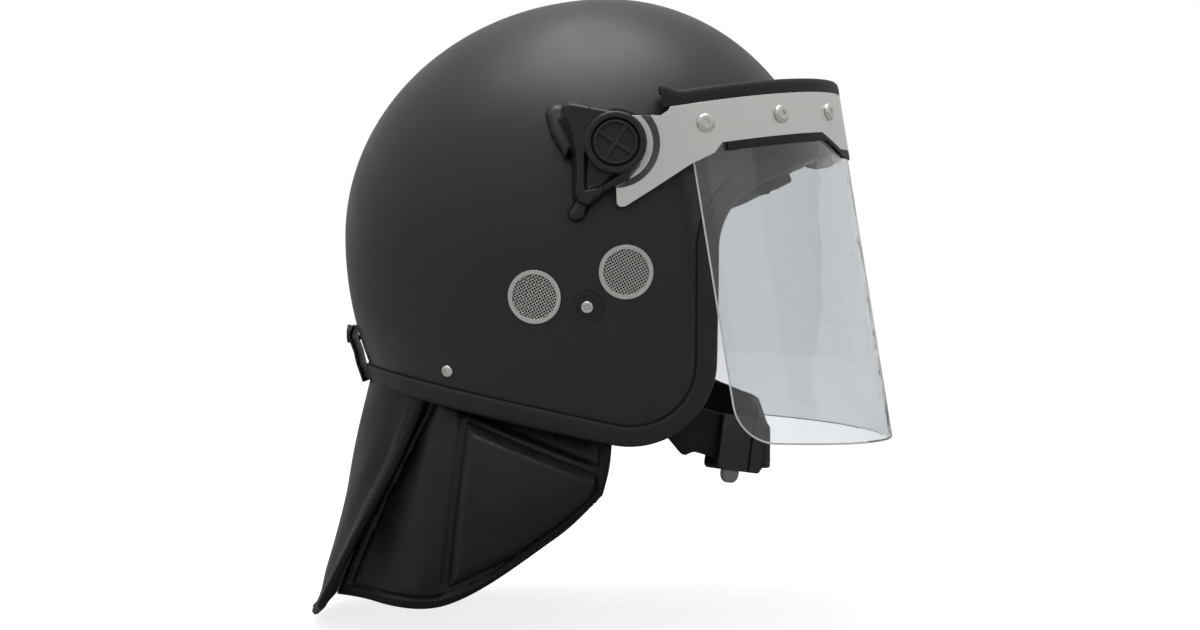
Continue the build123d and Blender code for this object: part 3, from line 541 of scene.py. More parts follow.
def grid_faces(rows: int, columns: int, close_rows: bool = False, close_columns: bool = False) -> Faces:
    """The four-sided faces of a grid of points, row by row.

    Args:
        rows: How many rows of points there are.
        columns: How many points a row has.
        close_rows: Whether the last row joins the first.
        close_columns: Whether each row closes on itself.

    Returns:
        The faces.
    """
    faces = []
    for i in range(rows if close_rows else rows - 1):
        for j in range(columns if close_columns else columns - 1):
            a, b = i * columns, ((i + 1) % rows) * columns
            k = (j + 1) % columns
            faces.append((a + j, b + j, b + k, a + k))
    return faces


def grid_normals(grid: Points) -> Points:
    """Unit normals of a grid of points, by its own differences."""
    return unit(np.cross(np.gradient(grid, axis=0), np.gradient(grid, axis=1)))


def joined(solids: Sequence[Solid]) -> Solid:
    """Several solids as one.

    Args:
        solids: The points and faces of each.

    Returns:
        Points and faces.
    """
    faces, start = [], 0
    for points, own in solids:
        faces += [tuple(start + i for i in face) for face in own]
        start += len(points)
    return np.concatenate([points for points, _ in solids]), faces


def closed_slab(outer: Points, inner: Points) -> Solid:
    """A thin closed solid between two grids of the same shape.

    Args:
        outer: The outer grid, rows by columns by 3.
        inner: The inner grid.

    Returns:
        Points and faces: the outer faces first, then the inner ones, then the edge.
    """
    rows, columns = outer.shape[:2]
    count = rows * columns
    front = grid_faces(rows, columns)
    back = [face[::-1] for face in front]
    points, faces = joined([(outer.reshape(-1, 3), front), (inner.reshape(-1, 3), back)])
    edge = [(0, j) for j in range(columns)] + [(i, columns - 1) for i in range(1, rows)]
    edge += [(rows - 1, j) for j in range(columns - 2, -1, -1)] + [(i, 0) for i in range(rows - 2, 0, -1)]
    ring = [i * columns + j for i, j in edge]
    faces += [(a, b, b + count, a + count) for a, b in zip(ring, ring[1:] + ring[:1])]
    return points, faces


def loft(rings: Points, closed: bool = False) -> Solid:
    """A solid through rings of points.

    Args:
        rings: The rings, each of which closes on itself.
        closed: Whether the last ring joins the first. Otherwise a face closes each end.

    Returns:
        Points and faces.
    """
    rows, count = rings.shape[:2]
    faces = grid_faces(rows, count, close_rows=closed, close_columns=True)
    if not closed:
        last = (rows - 1) * count
        faces += [tuple(range(count)), tuple(range(last, last + count))[::-1]]
    return rings.reshape(-1, 3), faces


def tube(line: Points, radius: float, sides: int) -> Solid:
    """A round tube along a line of points.

    Args:
        line: The centre line.
        radius: The tube's radius.
        sides: How many sides the tube has.

    Returns:
        Points and faces, ends closed.
    """
    along = unit(np.gradient(line, axis=0))
    first = unit(np.cross(along, ASKEW))
    second = np.cross(along, first)
    c, s = (f(full_turn(sides))[None, :, None] for f in (np.cos, np.sin))
    return loft(line[:, None] + radius * (first[:, None] * c + second[:, None] * s))


# Objects


def add_object(name: str, data: Any) -> Any:
    """Puts new data into the scene as an object."""
    item = bpy.data.objects.new(name, data)
    bpy.context.scene.collection.objects.link(item)
    return item


def points_of(mesh: Any) -> Points:
    """A mesh's points."""
    return np.array([v.co for v in mesh.vertices])


def move_points(mesh: Any, points: Points) -> None:
    """Moves a mesh's points."""
    mesh.vertices.foreach_set("co", points.astype(np.float32).ravel())
    mesh.update()


def dress(finish: Finish, *nodes: str) -> None:
    """Gives CAD nodes their finish.

    Args:
        finish: The finish.
        nodes: The nodes' names.
    """
    for node in nodes:
        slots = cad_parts[node].data.materials
        slots.clear()
        slots.append(finish.material())
        log.info("dressed %s in %s", node, finish.name)


def make_piece(
    name: str, solid: Solid, finish: Finish, body: Body | None, stands_for: Sequence[str] = (),
    crease: float = 40.0,
) -> Any:
    """Makes one mesh piece, smooth but for its creases, and sets it on its body.

    Args:
        name: The piece's name.
        solid: Its points, in metres, and its faces.
        finish: Its finish.
        body: The body it rides on, or None.
        stands_for: The CAD nodes it replaces.
        crease: Edges sharper than this, in degrees, stay sharp.

    Returns:
        The new object.
    """
    points, faces = solid
    mesh = bpy.data.meshes.new(name)
    mesh.from_pydata([tuple(p) for p in points], [], faces)
    mesh.update()
    volume = sum(face.area * face.normal.dot(face.center) for face in mesh.polygons) / 3
    if volume < 0:  # the faces look inward
        mesh.flip_normals()
    mesh.polygons.foreach_set("use_smooth", [True] * len(mesh.polygons))
    mesh.set_sharp_from_angle(angle=math.radians(crease))
    mesh.materials.append(finish.material())
    item = add_object(name, mesh)
    if body:
        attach(item, body.value)
    if stands_for:
        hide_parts(*stands_for)
    log.info("made %s, %d points, for %s", name, len(mesh.vertices), ", ".join(stands_for) or "itself")
    return item


def stitch_row(name: str, line: Points, outward: Points) -> Any:
    """A row of sewn stitches that lie in the surface along a line.

    Args:
        name: The piece's name.
        line: Points on the surface along the seam.
        outward: The surface's outward direction at each point.

    Returns:
        The stitches as one piece, still without a body.
    """
    count = max(2, int(walked(line)[-1] / STITCH_PITCH))
    middle = resample(line, 2 * count + 1)[1::2]
    out = unit(resample(outward, 2 * count + 1)[1::2])
    along = unit(np.gradient(middle, axis=0))
    run = np.linspace(-0.5, 0.5, 4)[:, None] * STITCH_LENGTH
    arch = np.array([-1, 1, 1, -1])[:, None] * STITCH_ARCH
    threads = [
        tube(centre + run * way + arch * up, THREAD_RADIUS, 5) for centre, way, up in zip(middle, along, out)
    ]
    return make_piece(name, joined(threads), Finishes.thread, None)


# The shell's form, which trim, pads and guard follow


@dataclass(frozen=True)
class SurfaceSpot:
    """A place on the shell with two directions along its surface and one outward."""

    origin: Points
    first: Points
    second: Points
    normal: Points

    def at(self, u: Points, v: Points, height: Points | float) -> Points:
        """Points at distances along the three directions, in millimetres."""
        u, v, height = (np.asarray(value)[..., None] for value in (u, v, height))
        return self.origin + (u * self.first + v * self.second + height * self.normal) * MM


@dataclass(frozen=True)
class ShellForm:
    """Four quarter ellipsoids that meet at the widest level, and the shell's edge on them, in metres."""

    half_width: float = 0.120
    front: float = 0.132
    rear: float = 0.1566
    rise: float = 0.1413
    drop: float = 0.180
    rim_level: float = -0.1159
    rim_slope: float = math.radians(12.1)
    cheek_y: float = -0.0587
    brow_z: float = 0.0151
    brow_slope: float = math.radians(24.7)
    chin_radius: float = 0.047
    brow_radius: float = 0.040
    ring_lean: float = 0.55

    def axes(self, points: Points, grow: float) -> Points:
        """The half axes that hold at each point.

        Args:
            points: Where they are wanted.
            grow: How much larger than the shell, in metres.

        Returns:
            Three half axes for each point.
        """
        along = np.where(points[..., 1] > 0, self.rear, self.front) + grow
        up = np.where(points[..., 2] > 0, self.rise, self.drop) + grow
        return np.stack([np.full_like(along, self.half_width + grow), along, up], axis=-1)

    def level(self, points: Points, grow: float = 0.0) -> Points:
        """How far out each point is: 1 on the surface, less inside."""
        return np.linalg.norm(points / self.axes(points, grow), axis=-1)

    def onto(self, points: Points) -> Points:
        """The points moved along their own radius onto the surface."""
        return points / self.level(points)[..., None]

    def within(self, points: Points, grow_mm: float) -> Points:
        """The points, with those that are outside a grown surface drawn back onto it."""
        return points / np.maximum(self.level(points, grow_mm * MM), 1.0)[:, None]

    def normal(self, points: Points) -> Points:
        """Outward unit normals."""
        return unit(points / self.axes(points, 0.0) ** 2)

    def half_width_at(self, flat: Points) -> Points:
        """How far the surface stands out from points of the mid-plane."""
        return self.half_width * np.sqrt(np.maximum(0, 1 - self.level(flat) ** 2))

    def spot(self, y: float, z: float, side: Side) -> SurfaceSpot:
        """A place on a side of the shell.

        Args:
            y: The place along the helmet, in millimetres.
            z: Its height.
            side: The side it is on.

        Returns:
            The place, with directions along the surface and outward.
        """
        flat = np.array([0.0, y, z]) * MM
        origin = flat + np.array([float(self.half_width_at(flat)), 0.0, 0.0])
        mirror = np.array([side.value, 1, 1])
        normal = self.normal(origin) * mirror
        first = unit(np.cross(normal, np.array([0.0, self.ring_lean, 1.0])))
        return SurfaceSpot(origin * mirror, first, np.cross(normal, first), normal)

    def rim_z(self, y: Points | float) -> Points | float:
        """Height of the lower rim at a place along the helmet."""
        return self.rim_level + y * math.tan(self.rim_slope)

    def edge(self, count: int) -> Points:
        """The shell's edge as one closed loop, left side first, from the rear.

        Args:
            count: How many points the loop has.

        Returns:
            Even points on the outside surface.
        """
        far, fine, steps = 0.25, 20001, 6001
        rear, chin = (far, self.rim_z(far)), (self.cheek_y, self.rim_z(self.cheek_y))
        brow = (self.cheek_y, self.brow_z)
        front = (-far, self.brow_z + (self.cheek_y + far) * math.tan(self.brow_slope))
        path = resample(rounded_path((rear, chin, brow, front), (self.chin_radius, self.brow_radius)), fine)
        kept = np.flatnonzero(self.level(np.column_stack([np.zeros(fine), path])) < 1)
        shares = (1 - np.cos(np.linspace(0, math.pi, steps))) / 2
        index = kept[0] + shares * (kept[-1] - kept[0])
        y, z = (np.interp(index, np.arange(fine), path[:, i]) for i in (0, 1))
        left = np.column_stack([np.zeros(steps), y, z])
        left[:, 0] = self.half_width_at(left)
        left[0, 0] = left[-1, 0] = 0.0
        right = left[::-1][1:] * np.array([-1.0, 1.0, 1.0])
        return resample(np.concatenate([left, right]), count + 1)[:-1]


SHELL = ShellForm()


@dataclass
class HeadShell:
    """The moulded shell with the rubber trim round its edge."""

    trim_width: float = 13.0
    trim_proud: float = 2.6
    wall: float = 4.0
    inner_width: float = 9.0
    inner_leg: float = 2.0
    loop_points: int = 560

    def section(self) -> Points:
        """The trim's outline: inward along the shell, then outward from it, in millimetres.

        Returns:
            A closed outline with a rolled outer lip and a rounded front.
        """
        wide, proud, deep = self.trim_width, self.trim_proud, self.wall + self.inner_leg
        inner, under = self.inner_width, -self.wall - 0.02
        return np.array([
            (wide - 1.0, -0.35), (wide - 0.45, 0.1), (wide - 0.15, 0.8), (wide - 0.35, 1.6), (wide - 1.1, 2.2),
            (wide - 2.6, proud - 0.1), (wide * 0.6, proud), (wide * 0.3, proud), (2.6, proud - 0.1), (1.4, 2.2),
            (0.55, 1.5), (0.12, 0.5), (0.0, -0.8), (0.0, -deep + 2.4), (0.15, -deep + 1.3), (0.7, -deep + 0.5),
            (1.7, -deep + 0.05), (inner * 0.6, -deep), (inner - 1.2, -deep + 0.1), (inner - 0.4, -deep + 0.6),
            (inner - 0.1, -deep + 1.4), (inner - 0.6, under), (2.4, under), (2.2, -0.35),
        ])

    def build(self) -> None:
        """Dresses the shell and sweeps the trim's outline round its edge."""
        dress(Finishes.shell, "outer_shell")
        loop = SHELL.edge(self.loop_points)
        along = unit(np.roll(loop, -1, axis=0) - np.roll(loop, 1, axis=0))
        inward = np.cross(along, SHELL.normal(loop))
        rings = []
        for inset, height in self.section() * MM:
            foot = SHELL.onto(loop + inward * inset)
            rings.append(foot + SHELL.normal(foot) * height)
        trim = loft(np.stack(rings, axis=1), closed=True)
        make_piece("rubber_rim_trim", trim, Finishes.trim, Body.HELMET, ["rim_trim"], crease=70)


@dataclass
class EarVents:
    """Two turned rings on each side, with woven wire in them."""

    places: Outline = ((39.7, -35.4), (-9.0, -22.2))
    mesh_radius: float = 12.2
    height: float = 0.3
    wire_pitch: float = 1.45  # real wire is about 0.8 mm apart, too fine to show from a step away
    wire_radius: float = 0.26
    wire_sides: int = 5
    cloth_depth: float = 0.75
    cloth_sides: int = 48

    def weave(self, spot: SurfaceSpot) -> Solid:
        """One disc of plain-woven wire.

        Args:
            spot: The vent's place.

        Returns:
            Points and faces.
        """
        pitch, reach = self.wire_pitch, self.mesh_radius
        lines, wires = int(reach / pitch), []
        for turned in (False, True):
            for k in range(-lines, lines + 1):
                half = math.sqrt(reach**2 - (k * pitch) ** 2)
                run = np.linspace(-half, half, max(5, int(8 * half / pitch)))
                phase = (k + int(turned)) % 2 * math.pi
                wave = self.height + self.wire_radius * np.cos(math.pi * run / pitch + phase)
                aside = np.full_like(run, k * pitch)
                line = spot.at(aside, run, wave) if turned else spot.at(run, aside, wave)
                wires.append(tube(line, self.wire_radius * MM, self.wire_sides))
        return joined(wires)

    def cloth(self, spot: SurfaceSpot) -> Solid:
        """A dark cloth disc that closes a vent behind its wire, painted shade for the vent's hole.

        Args:
            spot: The vent's place.

        Returns:
            Points and one face.
        """
        turns = full_turn(self.cloth_sides)
        u, v = np.cos(turns) * self.mesh_radius, np.sin(turns) * self.mesh_radius
        return spot.at(u, v, self.height - self.cloth_depth), [tuple(range(self.cloth_sides))]

    def build(self) -> None:
        """Dresses the rings, weaves the four discs and closes them with dark cloth, which paints the shade of
        the vent behind the wire.
        """
        dress(Finishes.ring, "ear_vent_rings")
        spots = [SHELL.spot(y, z, side) for side in Side for y, z in self.places]
        cloths, discs = (joined([make(spot) for spot in spots]) for make in (self.cloth, self.weave))
        # Dark discs under the weave: painted shade for the vent holes that the shell does not have
        make_piece("vent_cloths_painted_shade", cloths, Finishes.cloth, Body.HELMET)
        make_piece("vent_wire_weave", discs, Finishes.wire, Body.HELMET, ["ear_vent_meshes"])


@dataclass
class LinerAndPads:
    """The foam liner and the knit pads sewn over soft foam inside it."""

    voxel: float = 4.5
    shrink: float = 2.2
    cap: float = 4.5
    pressure: float = 4.0
    quality: int = 4
    frames: int = 20
    smoothing: float = 0.5
    smoothing_steps: int = 3
    layer: float = -24.9
    ear_layer: float = -8.7
    fill: float = 0.6
    ear_fill: float = 0.7
    brow_drop: float = 20.0
    brow_swell: float = 0.2
    brow_layer: float = -8.5
    brow_band: Flat = (2.0, 34.0)

    def swell(self, item: Any) -> None:
        """Blows a closed mesh up under a little pressure, no further than the cap.

        Args:
            item: The pad's mesh object.
        """
        rest = points_of(item.data)
        cloth = item.modifiers.new("swell", "CLOTH")
        cloth.settings.use_pressure = True
        cloth.settings.uniform_pressure_force = self.pressure
        cloth.settings.effector_weights.gravity = 0.0
        cloth.settings.quality = self.quality
        cloth.point_cache.frame_start = 1
        cloth.point_cache.frame_end = self.frames
        scene = bpy.context.scene
        for step in range(1, self.frames + 1):
            scene.frame_set(step)
        swelled = points_of(item.evaluated_get(bpy.context.evaluated_depsgraph_get()).data)
        item.modifiers.remove(cloth)
        scene.frame_set(1)
        moved = swelled - rest
        length = np.linalg.norm(moved, axis=1, keepdims=True)
        move_points(item.data, rest + moved * np.minimum(1, self.cap * MM / np.maximum(length, 1e-9)))

    def apply(self, item: Any) -> Any:
        """Applies an object's modifiers.

        Args:
            item: The object.

        Returns:
            Its new mesh.
        """
        mesh = bpy.data.meshes.new_from_object(item.evaluated_get(bpy.context.evaluated_depsgraph_get()))
        item.modifiers.clear()
        item.data = mesh
        return mesh

    def pad(self, node: str, name: str, finish: Finish, layer: float | None) -> Any:
        """A padded piece that starts from its plain solid.

        Args:
            node: The CAD node it stands for.
            name: The piece's name.
            finish: Its finish.
            layer: The layer of the shell, in millimetres, that it must stay inside, or None.

        Returns:
            The pad.
        """
        item = add_object(name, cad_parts[node].data.copy())
        item.data.materials.clear()
        remesh = item.modifiers.new("even", "REMESH")
        remesh.mode, remesh.voxel_size = "VOXEL", self.voxel * MM
        mesh = self.apply(item)
        mesh.name = name
        normals = np.array([v.normal for v in mesh.vertices])
        move_points(mesh, points_of(mesh) - normals * self.shrink * MM)
        self.swell(item)
        smoother = item.modifiers.new("even_out", "SMOOTH")
        smoother.factor, smoother.iterations = self.smoothing, self.smoothing_steps
        finer = item.modifiers.new("finer", "SUBSURF")
        finer.levels = finer.render_levels = 1
        mesh = self.apply(item)
        if layer is not None:
            move_points(mesh, SHELL.within(points_of(mesh), layer))
        mesh.polygons.foreach_set("use_smooth", [True] * len(mesh.polygons))
        mesh.materials.clear()
        mesh.materials.append(finish.material())
        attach(item, Body.HELMET.value)
        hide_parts(node)
        log.info("padded %s for %s, %d points", name, node, len(mesh.vertices))
        return item

    def lower(self, item: Any) -> None:
        """Lets the foot of the brow pad hang below the liner and swell out towards the shell's edge.

        Args:
            item: The brow pad.
        """
        points = points_of(item.data)
        above = (points[:, 2] - SHELL.brow_z - (SHELL.cheek_y - points[:, 1]) * math.tan(SHELL.brow_slope)) / MM
        share = (1 - smooth(*self.brow_band, above))[:, None]
        points = points * (1 + self.brow_swell * share) - share * np.array([0, 0, self.brow_drop * MM])
        move_points(item.data, SHELL.within(points, self.brow_layer))

    def build(self) -> None:
        """Dresses the liner and makes its pads."""
        dress(Finishes.foam, "impact_liner")
        pads = {
            node: self.pad(node, f"knit_{node}", Finishes.knit, self.layer)
            for node in ("crown_pad", "brow_pad", "nape_pad")
        }
        self.lower(pads["brow_pad"])
        for side in Side:
            node = f"ear_pad_{side.word}"
            self.pad(node, f"knit_{node}", Finishes.knit, self.ear_layer)


@dataclass
class Visor:
    """The steel band with its arms, the clear lens behind it and the rubber along both its edges."""

    pivot: Flat = (-3.3, 45.5)
    lean: float = math.radians(9.2)
    half_width: float = 126.0
    front_reach: float = 110.0
    centre_back: float = 28.4
    band_top: float = 14.4
    seal_rise: float = 8.0
    seal_lip: float = 3.0
    seal_flange: float = 3.2
    seal_least: float = 3.35
    seal_most: float = 60.0
    seal_rear: float = -28.0
    seal_gap: float = 1.2
    seal_points: int = 260
    halvings: int = 30
    plan_points: int = 1201
    end_rise: float = 4.5
    end_length: float = 13.0
    end_curve: float = 1.4
    lens_inset: float = 2.35
    lens_rear: float = -39.4
    lens_top: float = -8.0
    lens_foot: float = -187.5
    lens_slope: float = math.radians(12.3)
    lens_corner: float = 25.0
    rim_radius: float = 0.45
    rim_sides: int = 8
    rim_points: int = 900

    def place(self, points: Points) -> Points:
        """Sets points of the upright visor leaning and on its pivot.

        Args:
            points: Points in the visor's own millimetres.

        Returns:
            The points in the helmet's metres.
        """
        c, s = math.cos(self.lean), math.sin(self.lean)
        x, y, z = points[..., 0], points[..., 1], points[..., 2]
        return np.stack([x, self.pivot[0] + y * c + z * s, self.pivot[1] - y * s + z * c], axis=-1) * MM

    def plan(self, count: int) -> tuple[Points, Points]:
        """The visor's outline in plan from its left rear end to its right one.

        Args:
            count: How many points to give.

        Returns:
            The points and their inward directions, both flat.
        """
        turn = np.linspace(0, math.pi, self.plan_points)
        x, y = self.half_width * np.cos(turn), -self.centre_back - self.front_reach * np.sin(turn)
        ends = [[(x_end, self.seal_rear)] for x_end in (self.half_width, -self.half_width)]
        line = resample(np.concatenate([ends[0], np.column_stack([x, y]), ends[1]]), count)
        along = unit(np.gradient(line, axis=0))
        return line, np.column_stack([along[:, 1], -along[:, 0]])

    def make_lens_rim(self) -> None:
        """Runs a thin pale bead along the lens's cut edge, down, round each corner and across the foot: a
        painted highlight for the bright line of light along the edge.
        """
        across, reach = self.half_width - self.lens_inset, self.front_reach - self.lens_inset
        middle = -self.centre_back - self.front_reach + self.lens_inset
        foot = self.lens_foot + (self.lens_rear - middle) * math.tan(self.lens_slope)
        outline = ((self.lens_rear, self.lens_top), (self.lens_rear, foot), (middle, self.lens_foot))
        flat = resample(rounded_path(outline, [self.lens_corner]), 400)
        forward = np.clip((-self.centre_back - flat[:, 0]) / reach, 0, 1)
        left = np.column_stack([across * np.sqrt(1 - forward**2), flat])
        line = resample(np.concatenate([left, left[::-1][1:] * np.array([-1, 1, 1])]), self.rim_points)
        # A pale opaque bead that paints the bright line of light along the lens's edge
        bead = tube(self.place(line), self.rim_radius * MM, self.rim_sides)
        make_piece("lens_edge_painted_highlight", bead, Finishes.lens_edge_highlight, Body.VISOR)

    def flange_reach(self, line: Points, inward: Points, level: float) -> Points:
        """How far in the seal's flange reaches before it meets the shell, found by halving.

        Args:
            line: The outline in plan.
            inward: Its inward directions.
            level: The height in the visor's frame.

        Returns:
            The distance at each point, in millimetres.
        """
        low, high = np.full(len(line), self.seal_lip + 0.4), np.full(len(line), self.seal_most)
        for _ in range(self.halvings):
            middle = (low + high) / 2
            flat = line + inward * middle[:, None]
            where = self.place(np.column_stack([flat, np.full(len(line), level)]))
            outside = SHELL.level(where, self.seal_gap * MM) > 1
            low, high = np.where(outside, middle, low), np.where(outside, high, middle)
        return low

    def make_seal(self) -> None:
        """Sweeps the soft seal along the top of the band, its flange reaching in to the shell."""
        line, inward = self.plan(self.seal_points)
        top = self.band_top + self.seal_rise
        upper = self.flange_reach(line, inward, top)
        lower = self.flange_reach(line, inward, top - self.seal_flange)
        along = walked(line)
        near_end = np.minimum(along, along[-1] - along)
        rise = self.end_rise * (1 - smooth(0, self.end_length, near_end)) ** self.end_curve
        lip, under = self.seal_lip, self.seal_rise - self.seal_flange
        # How far in, how high, and how much of the end's upturn: up the face and over the top, down the
        # flange's tip against the shell, then back under the flange and down the lip behind the band
        face = (
            (0.0, 0.1, 0), (0.0, 1.6, 0.1), (-0.15, 3.6, 0.5), (0.0, 5.6, 1), (0.35, 6.9, 1), (1.1, 7.7, 1),
            (2.2, 8.0, 1), (4.2, 7.7, 1),
        )
        tip_top = ((-3.0, 8.0, 1), (-0.8, 7.8, 1), (-0.1, 7.1, 1))
        tip_foot = ((0.0, 6.2, 1), (-0.4, 5.3, 1), (-1.4, under, 1))
        back = ((lip + 0.8, under, 1), (lip + 0.1, 4.2, 0.7), (lip, 3.2, 0.4), (lip, 0.1, 0))
        rings = []
        for reach, rows in ((None, face), (upper, tip_top), (lower, tip_foot), (None, back)):
            for inset, height, share in rows:
                depth = inset if reach is None else np.maximum(reach + inset, self.seal_least)[:, None]
                level = self.band_top + height + rise * share
                rings.append(self.place(np.column_stack([line + inward * depth, level])))
        seal = loft(np.stack(rings, axis=1))
        make_piece("soft_top_seal", seal, Finishes.seal, Body.VISOR, ["visor_top_seal"], crease=75)

    def build(self) -> None:
        """Dresses the visor's rigid parts and makes its lens edge and its seal."""
        dress(Finishes.band, "visor_band")
        dress(Finishes.strip, "visor_clamp_strip")
        dress(Finishes.clear, "visor_lens")
        dress(Finishes.seal, "visor_lower_gasket")
        dress(Finishes.rivet, "visor_rivets", "visor_rivet_nuts")
        self.make_lens_rim()
        self.make_seal()


def inside_by(u: Points, v: Points, outline: Outline) -> Points:
    """How far flat points are inside an outline, negative outside it.

    Args:
        u: The points' first coordinates.
        v: Their second ones.
        outline: The outline's corners in order.

    Returns:
        The signed distance at each point.
    """
    nearest = np.full(u.shape, np.inf)
    inside = np.zeros(u.shape, bool)
    for (a, b), (c, d) in zip(outline, [*outline[1:], outline[0]]):
        along = np.clip(((u - a) * (c - a) + (v - b) * (d - b)) / ((c - a) ** 2 + (d - b) ** 2), 0, 1)
        nearest = np.minimum(nearest, np.hypot(u - a - along * (c - a), v - b - along * (d - b)))
        if b != d:
            inside ^= ((v > b) != (v > d)) & (u < a + (v - b) * (c - a) / (d - b))
    return np.where(inside, nearest, -nearest)


def blended_top(first: Points, second: Points, width: float) -> Points:
    """The higher of two heights, with a fillet where they cross."""
    near = np.maximum(width - abs(first - second), 0) / width
    return np.maximum(first, second) + near**2 * width / 4


def rounded_shoulder(depth: Points, radius: float) -> Points:
    """Rises from 0 at an edge to 1 a radius inside it, as a quarter circle does."""
    return np.sqrt(1 - (1 - np.clip(depth / radius, 0, 1)) ** 2)


@dataclass
class Pivots:
    """The moulded covers, knobs, studs and washers on both sides. Outlines go forward and up from the pivot."""

    pivot: Flat = (-3.3, 45.5)
    recess_radius: float = 12.6
    recess_floor: float = 127.9
    boss_radius: float = 16.3
    boss_top: float = 134.1
    boss_shoulder: float = 1.2
    boss_draft: float = 0.15
    body_top: float = 130.4
    body_edge: float = 1.6
    body_fall: float = 0.2
    wall_slope: float = 6.0
    rear_slope: Flat = (2.4, 4.0)
    rear_slope_band: Flat = (-12.0, 6.0)
    rear_from: Flat = (12.0, 20.0)
    rear_below: Flat = (13.0, 19.0)
    fall_from: float = 14.0
    arm_level: float = 122.9
    arm_step: float = 4.7
    arm_rise: Flat = (20.0, 23.6)
    arm_turns: Flat = (-1.83, 2.2)
    pocket_depth: float = 3.2
    pocket_wall: Flat = (-0.4, 2.4)
    foot_edge: float = 3.6
    foot_slope: float = 4.0
    foot_fillet: float = 1.6
    root: float = 1.2
    reach: float = 47.0
    steps: int = 340
    rays: int = 300
    ring_points: int = 70
    body: Outline = (
        (5.2, 14.8), (-4.0, 17.0), (-24.5, 21.0), (-26.2, 19.5), (-26.1, 14.5), (-22.7, 4.1), (-20.9, -4.1),
        (-20.3, -14.5), (-20.9, -28.0), (-19.0, -31.0), (-15.0, -32.6), (-13.0, -31.8), (-6.4, -26.1),
        (6.4, -18.0), (12.3, -11.0), (14.0, 5.0),
    )
    pocket: Outline = ((-16.4, -4.5), (-16.9, -24.2), (-15.6, -25.6), (-8.0, -24.0), (2.0, -17.0), (0.0, -5.0))
    rear_foot: Outline = (
        (-37.8, 17.5), (-36.0, 21.5), (-32.5, 23.4), (-26.0, 22.6), (-20.0, 20.0), (-20.0, 0.0), (-26.5, -9.0),
        (-28.5, -5.0), (-34.3, 5.0),
    )
    rear_foot_rise: float = 7.5
    low_foot: Outline = (
        (-20.0, -27.0), (-23.0, -32.5), (-25.8, -36.5), (-24.9, -39.8), (-21.5, -41.6), (-18.0, -41.0),
        (-15.5, -38.0), (-13.6, -31.0), (-15.0, -26.0),
    )
    low_foot_rise: float = 6.5

    def shell_height(self, forward: Points, up: Points) -> Points:
        """How far the shell stands out from the mid-plane at places about the pivot, in millimetres."""
        flat = np.stack([np.zeros_like(up), self.pivot[0] - forward, self.pivot[1] + up], axis=-1) * MM
        return SHELL.half_width_at(flat) / MM

    def cover_height(self, forward: Points, up: Points) -> Points:
        """How far the moulded cover stands out from the mid-plane, outside its boss.

        Args:
            forward: Places forward of the pivot.
            up: Places above it.

        Returns:
            The height in millimetres, well below the shell where there is no cover.
        """
        inside = inside_by(forward, up, self.body)
        rear = smooth(*self.rear_from, -forward) * (1 - smooth(*self.rear_below, up))
        upper, lower = self.rear_slope
        rear_slope = upper + (lower - upper) * (1 - smooth(*self.rear_slope_band, up))
        slope = self.wall_slope + (rear_slope - self.wall_slope) * rear
        fall = self.body_fall * np.maximum(0, -forward - self.fall_from)
        edge = self.body_edge * (1 - rounded_shoulder(inside, self.body_edge))
        pocket = self.pocket_depth * smooth(*self.pocket_wall, inside_by(forward, up, self.pocket))
        height = self.body_top - fall - edge + np.minimum(inside, 0) * slope - pocket
        shell = self.shell_height(forward, up)
        for rise, outline in ((self.rear_foot_rise, self.rear_foot), (self.low_foot_rise, self.low_foot)):
            depth = inside_by(forward, up, outline)
            flank = np.minimum(depth, 0) * self.foot_slope
            foot = shell + rise * rounded_shoulder(depth, self.foot_edge) + flank
            height = blended_top(height, foot, self.foot_fillet)
        return height

    def cover_profile(self, turn: float) -> Points:
        """The cover's section on one ray from the pivot: recess floor, boss, and out to its foot.

        Args:
            turn: The ray's angle, from forward and upwards.

        Returns:
            Distances from the pivot and heights.
        """
        wall = self.boss_radius + self.boss_draft
        reach = np.concatenate([[self.boss_radius], np.linspace(wall, self.reach, self.steps)])
        forward, up = reach * math.cos(turn), reach * math.sin(turn)
        over_arm = self.arm_turns[0] < math.atan2(math.sin(turn), math.cos(turn)) < self.arm_turns[1]
        near, far = self.arm_rise
        arm = self.arm_level + self.arm_step * np.clip((reach - near) / (far - near), 0, 1)
        foot = arm if over_arm else self.shell_height(forward, up) - self.root
        height = np.maximum(self.cover_height(forward, up), foot)
        low = np.flatnonzero(height <= foot + 1e-9)
        end = int(low[0]) + 1 if len(low) else len(reach)
        inner, outer, top = self.recess_radius, self.boss_radius, self.boss_top
        if end > 2:
            out = resample(np.column_stack([reach, height])[1:end], self.ring_points)
        else:
            drop = np.linspace(top - self.boss_shoulder, foot[0], self.ring_points)
            out = np.column_stack([np.full(self.ring_points, wall), drop])
        boss = np.array([
            (inner / 2, self.recess_floor), (inner, self.recess_floor), (inner, top - 0.7),
            (inner + 0.25, top - 0.2), (inner + 0.7, top), (outer - 1.4, top), (outer - 0.6, top - 0.2),
            (outer - 0.15, top - 0.65), (outer, top - self.boss_shoulder),
        ])
        return np.concatenate([boss, out])

    def make_cover(self, side: Side) -> None:
        """Makes one moulded cover: boss, drafted rear body with its pocket, and two feet on the shell.

        Args:
            side: The side it is on.
        """
        turns = full_turn(self.rays)
        profiles = np.stack([self.cover_profile(turn) for turn in turns])
        forward, up = (profiles[..., 0] * f(turns)[:, None] for f in (np.cos, np.sin))
        out, back, height = side.value * profiles[..., 1], self.pivot[0] - forward, self.pivot[1] + up
        sheet = np.stack([out, back, height], axis=-1).reshape(-1, 3) * MM
        cover = sheet, grid_faces(*out.shape, close_rows=True)
        name, node = f"moulded_pivot_cover_{side.word}", f"pivot_housing_{side.word}"
        make_piece(name, cover, Finishes.nylon, Body.HELMET, [node], crease=38)

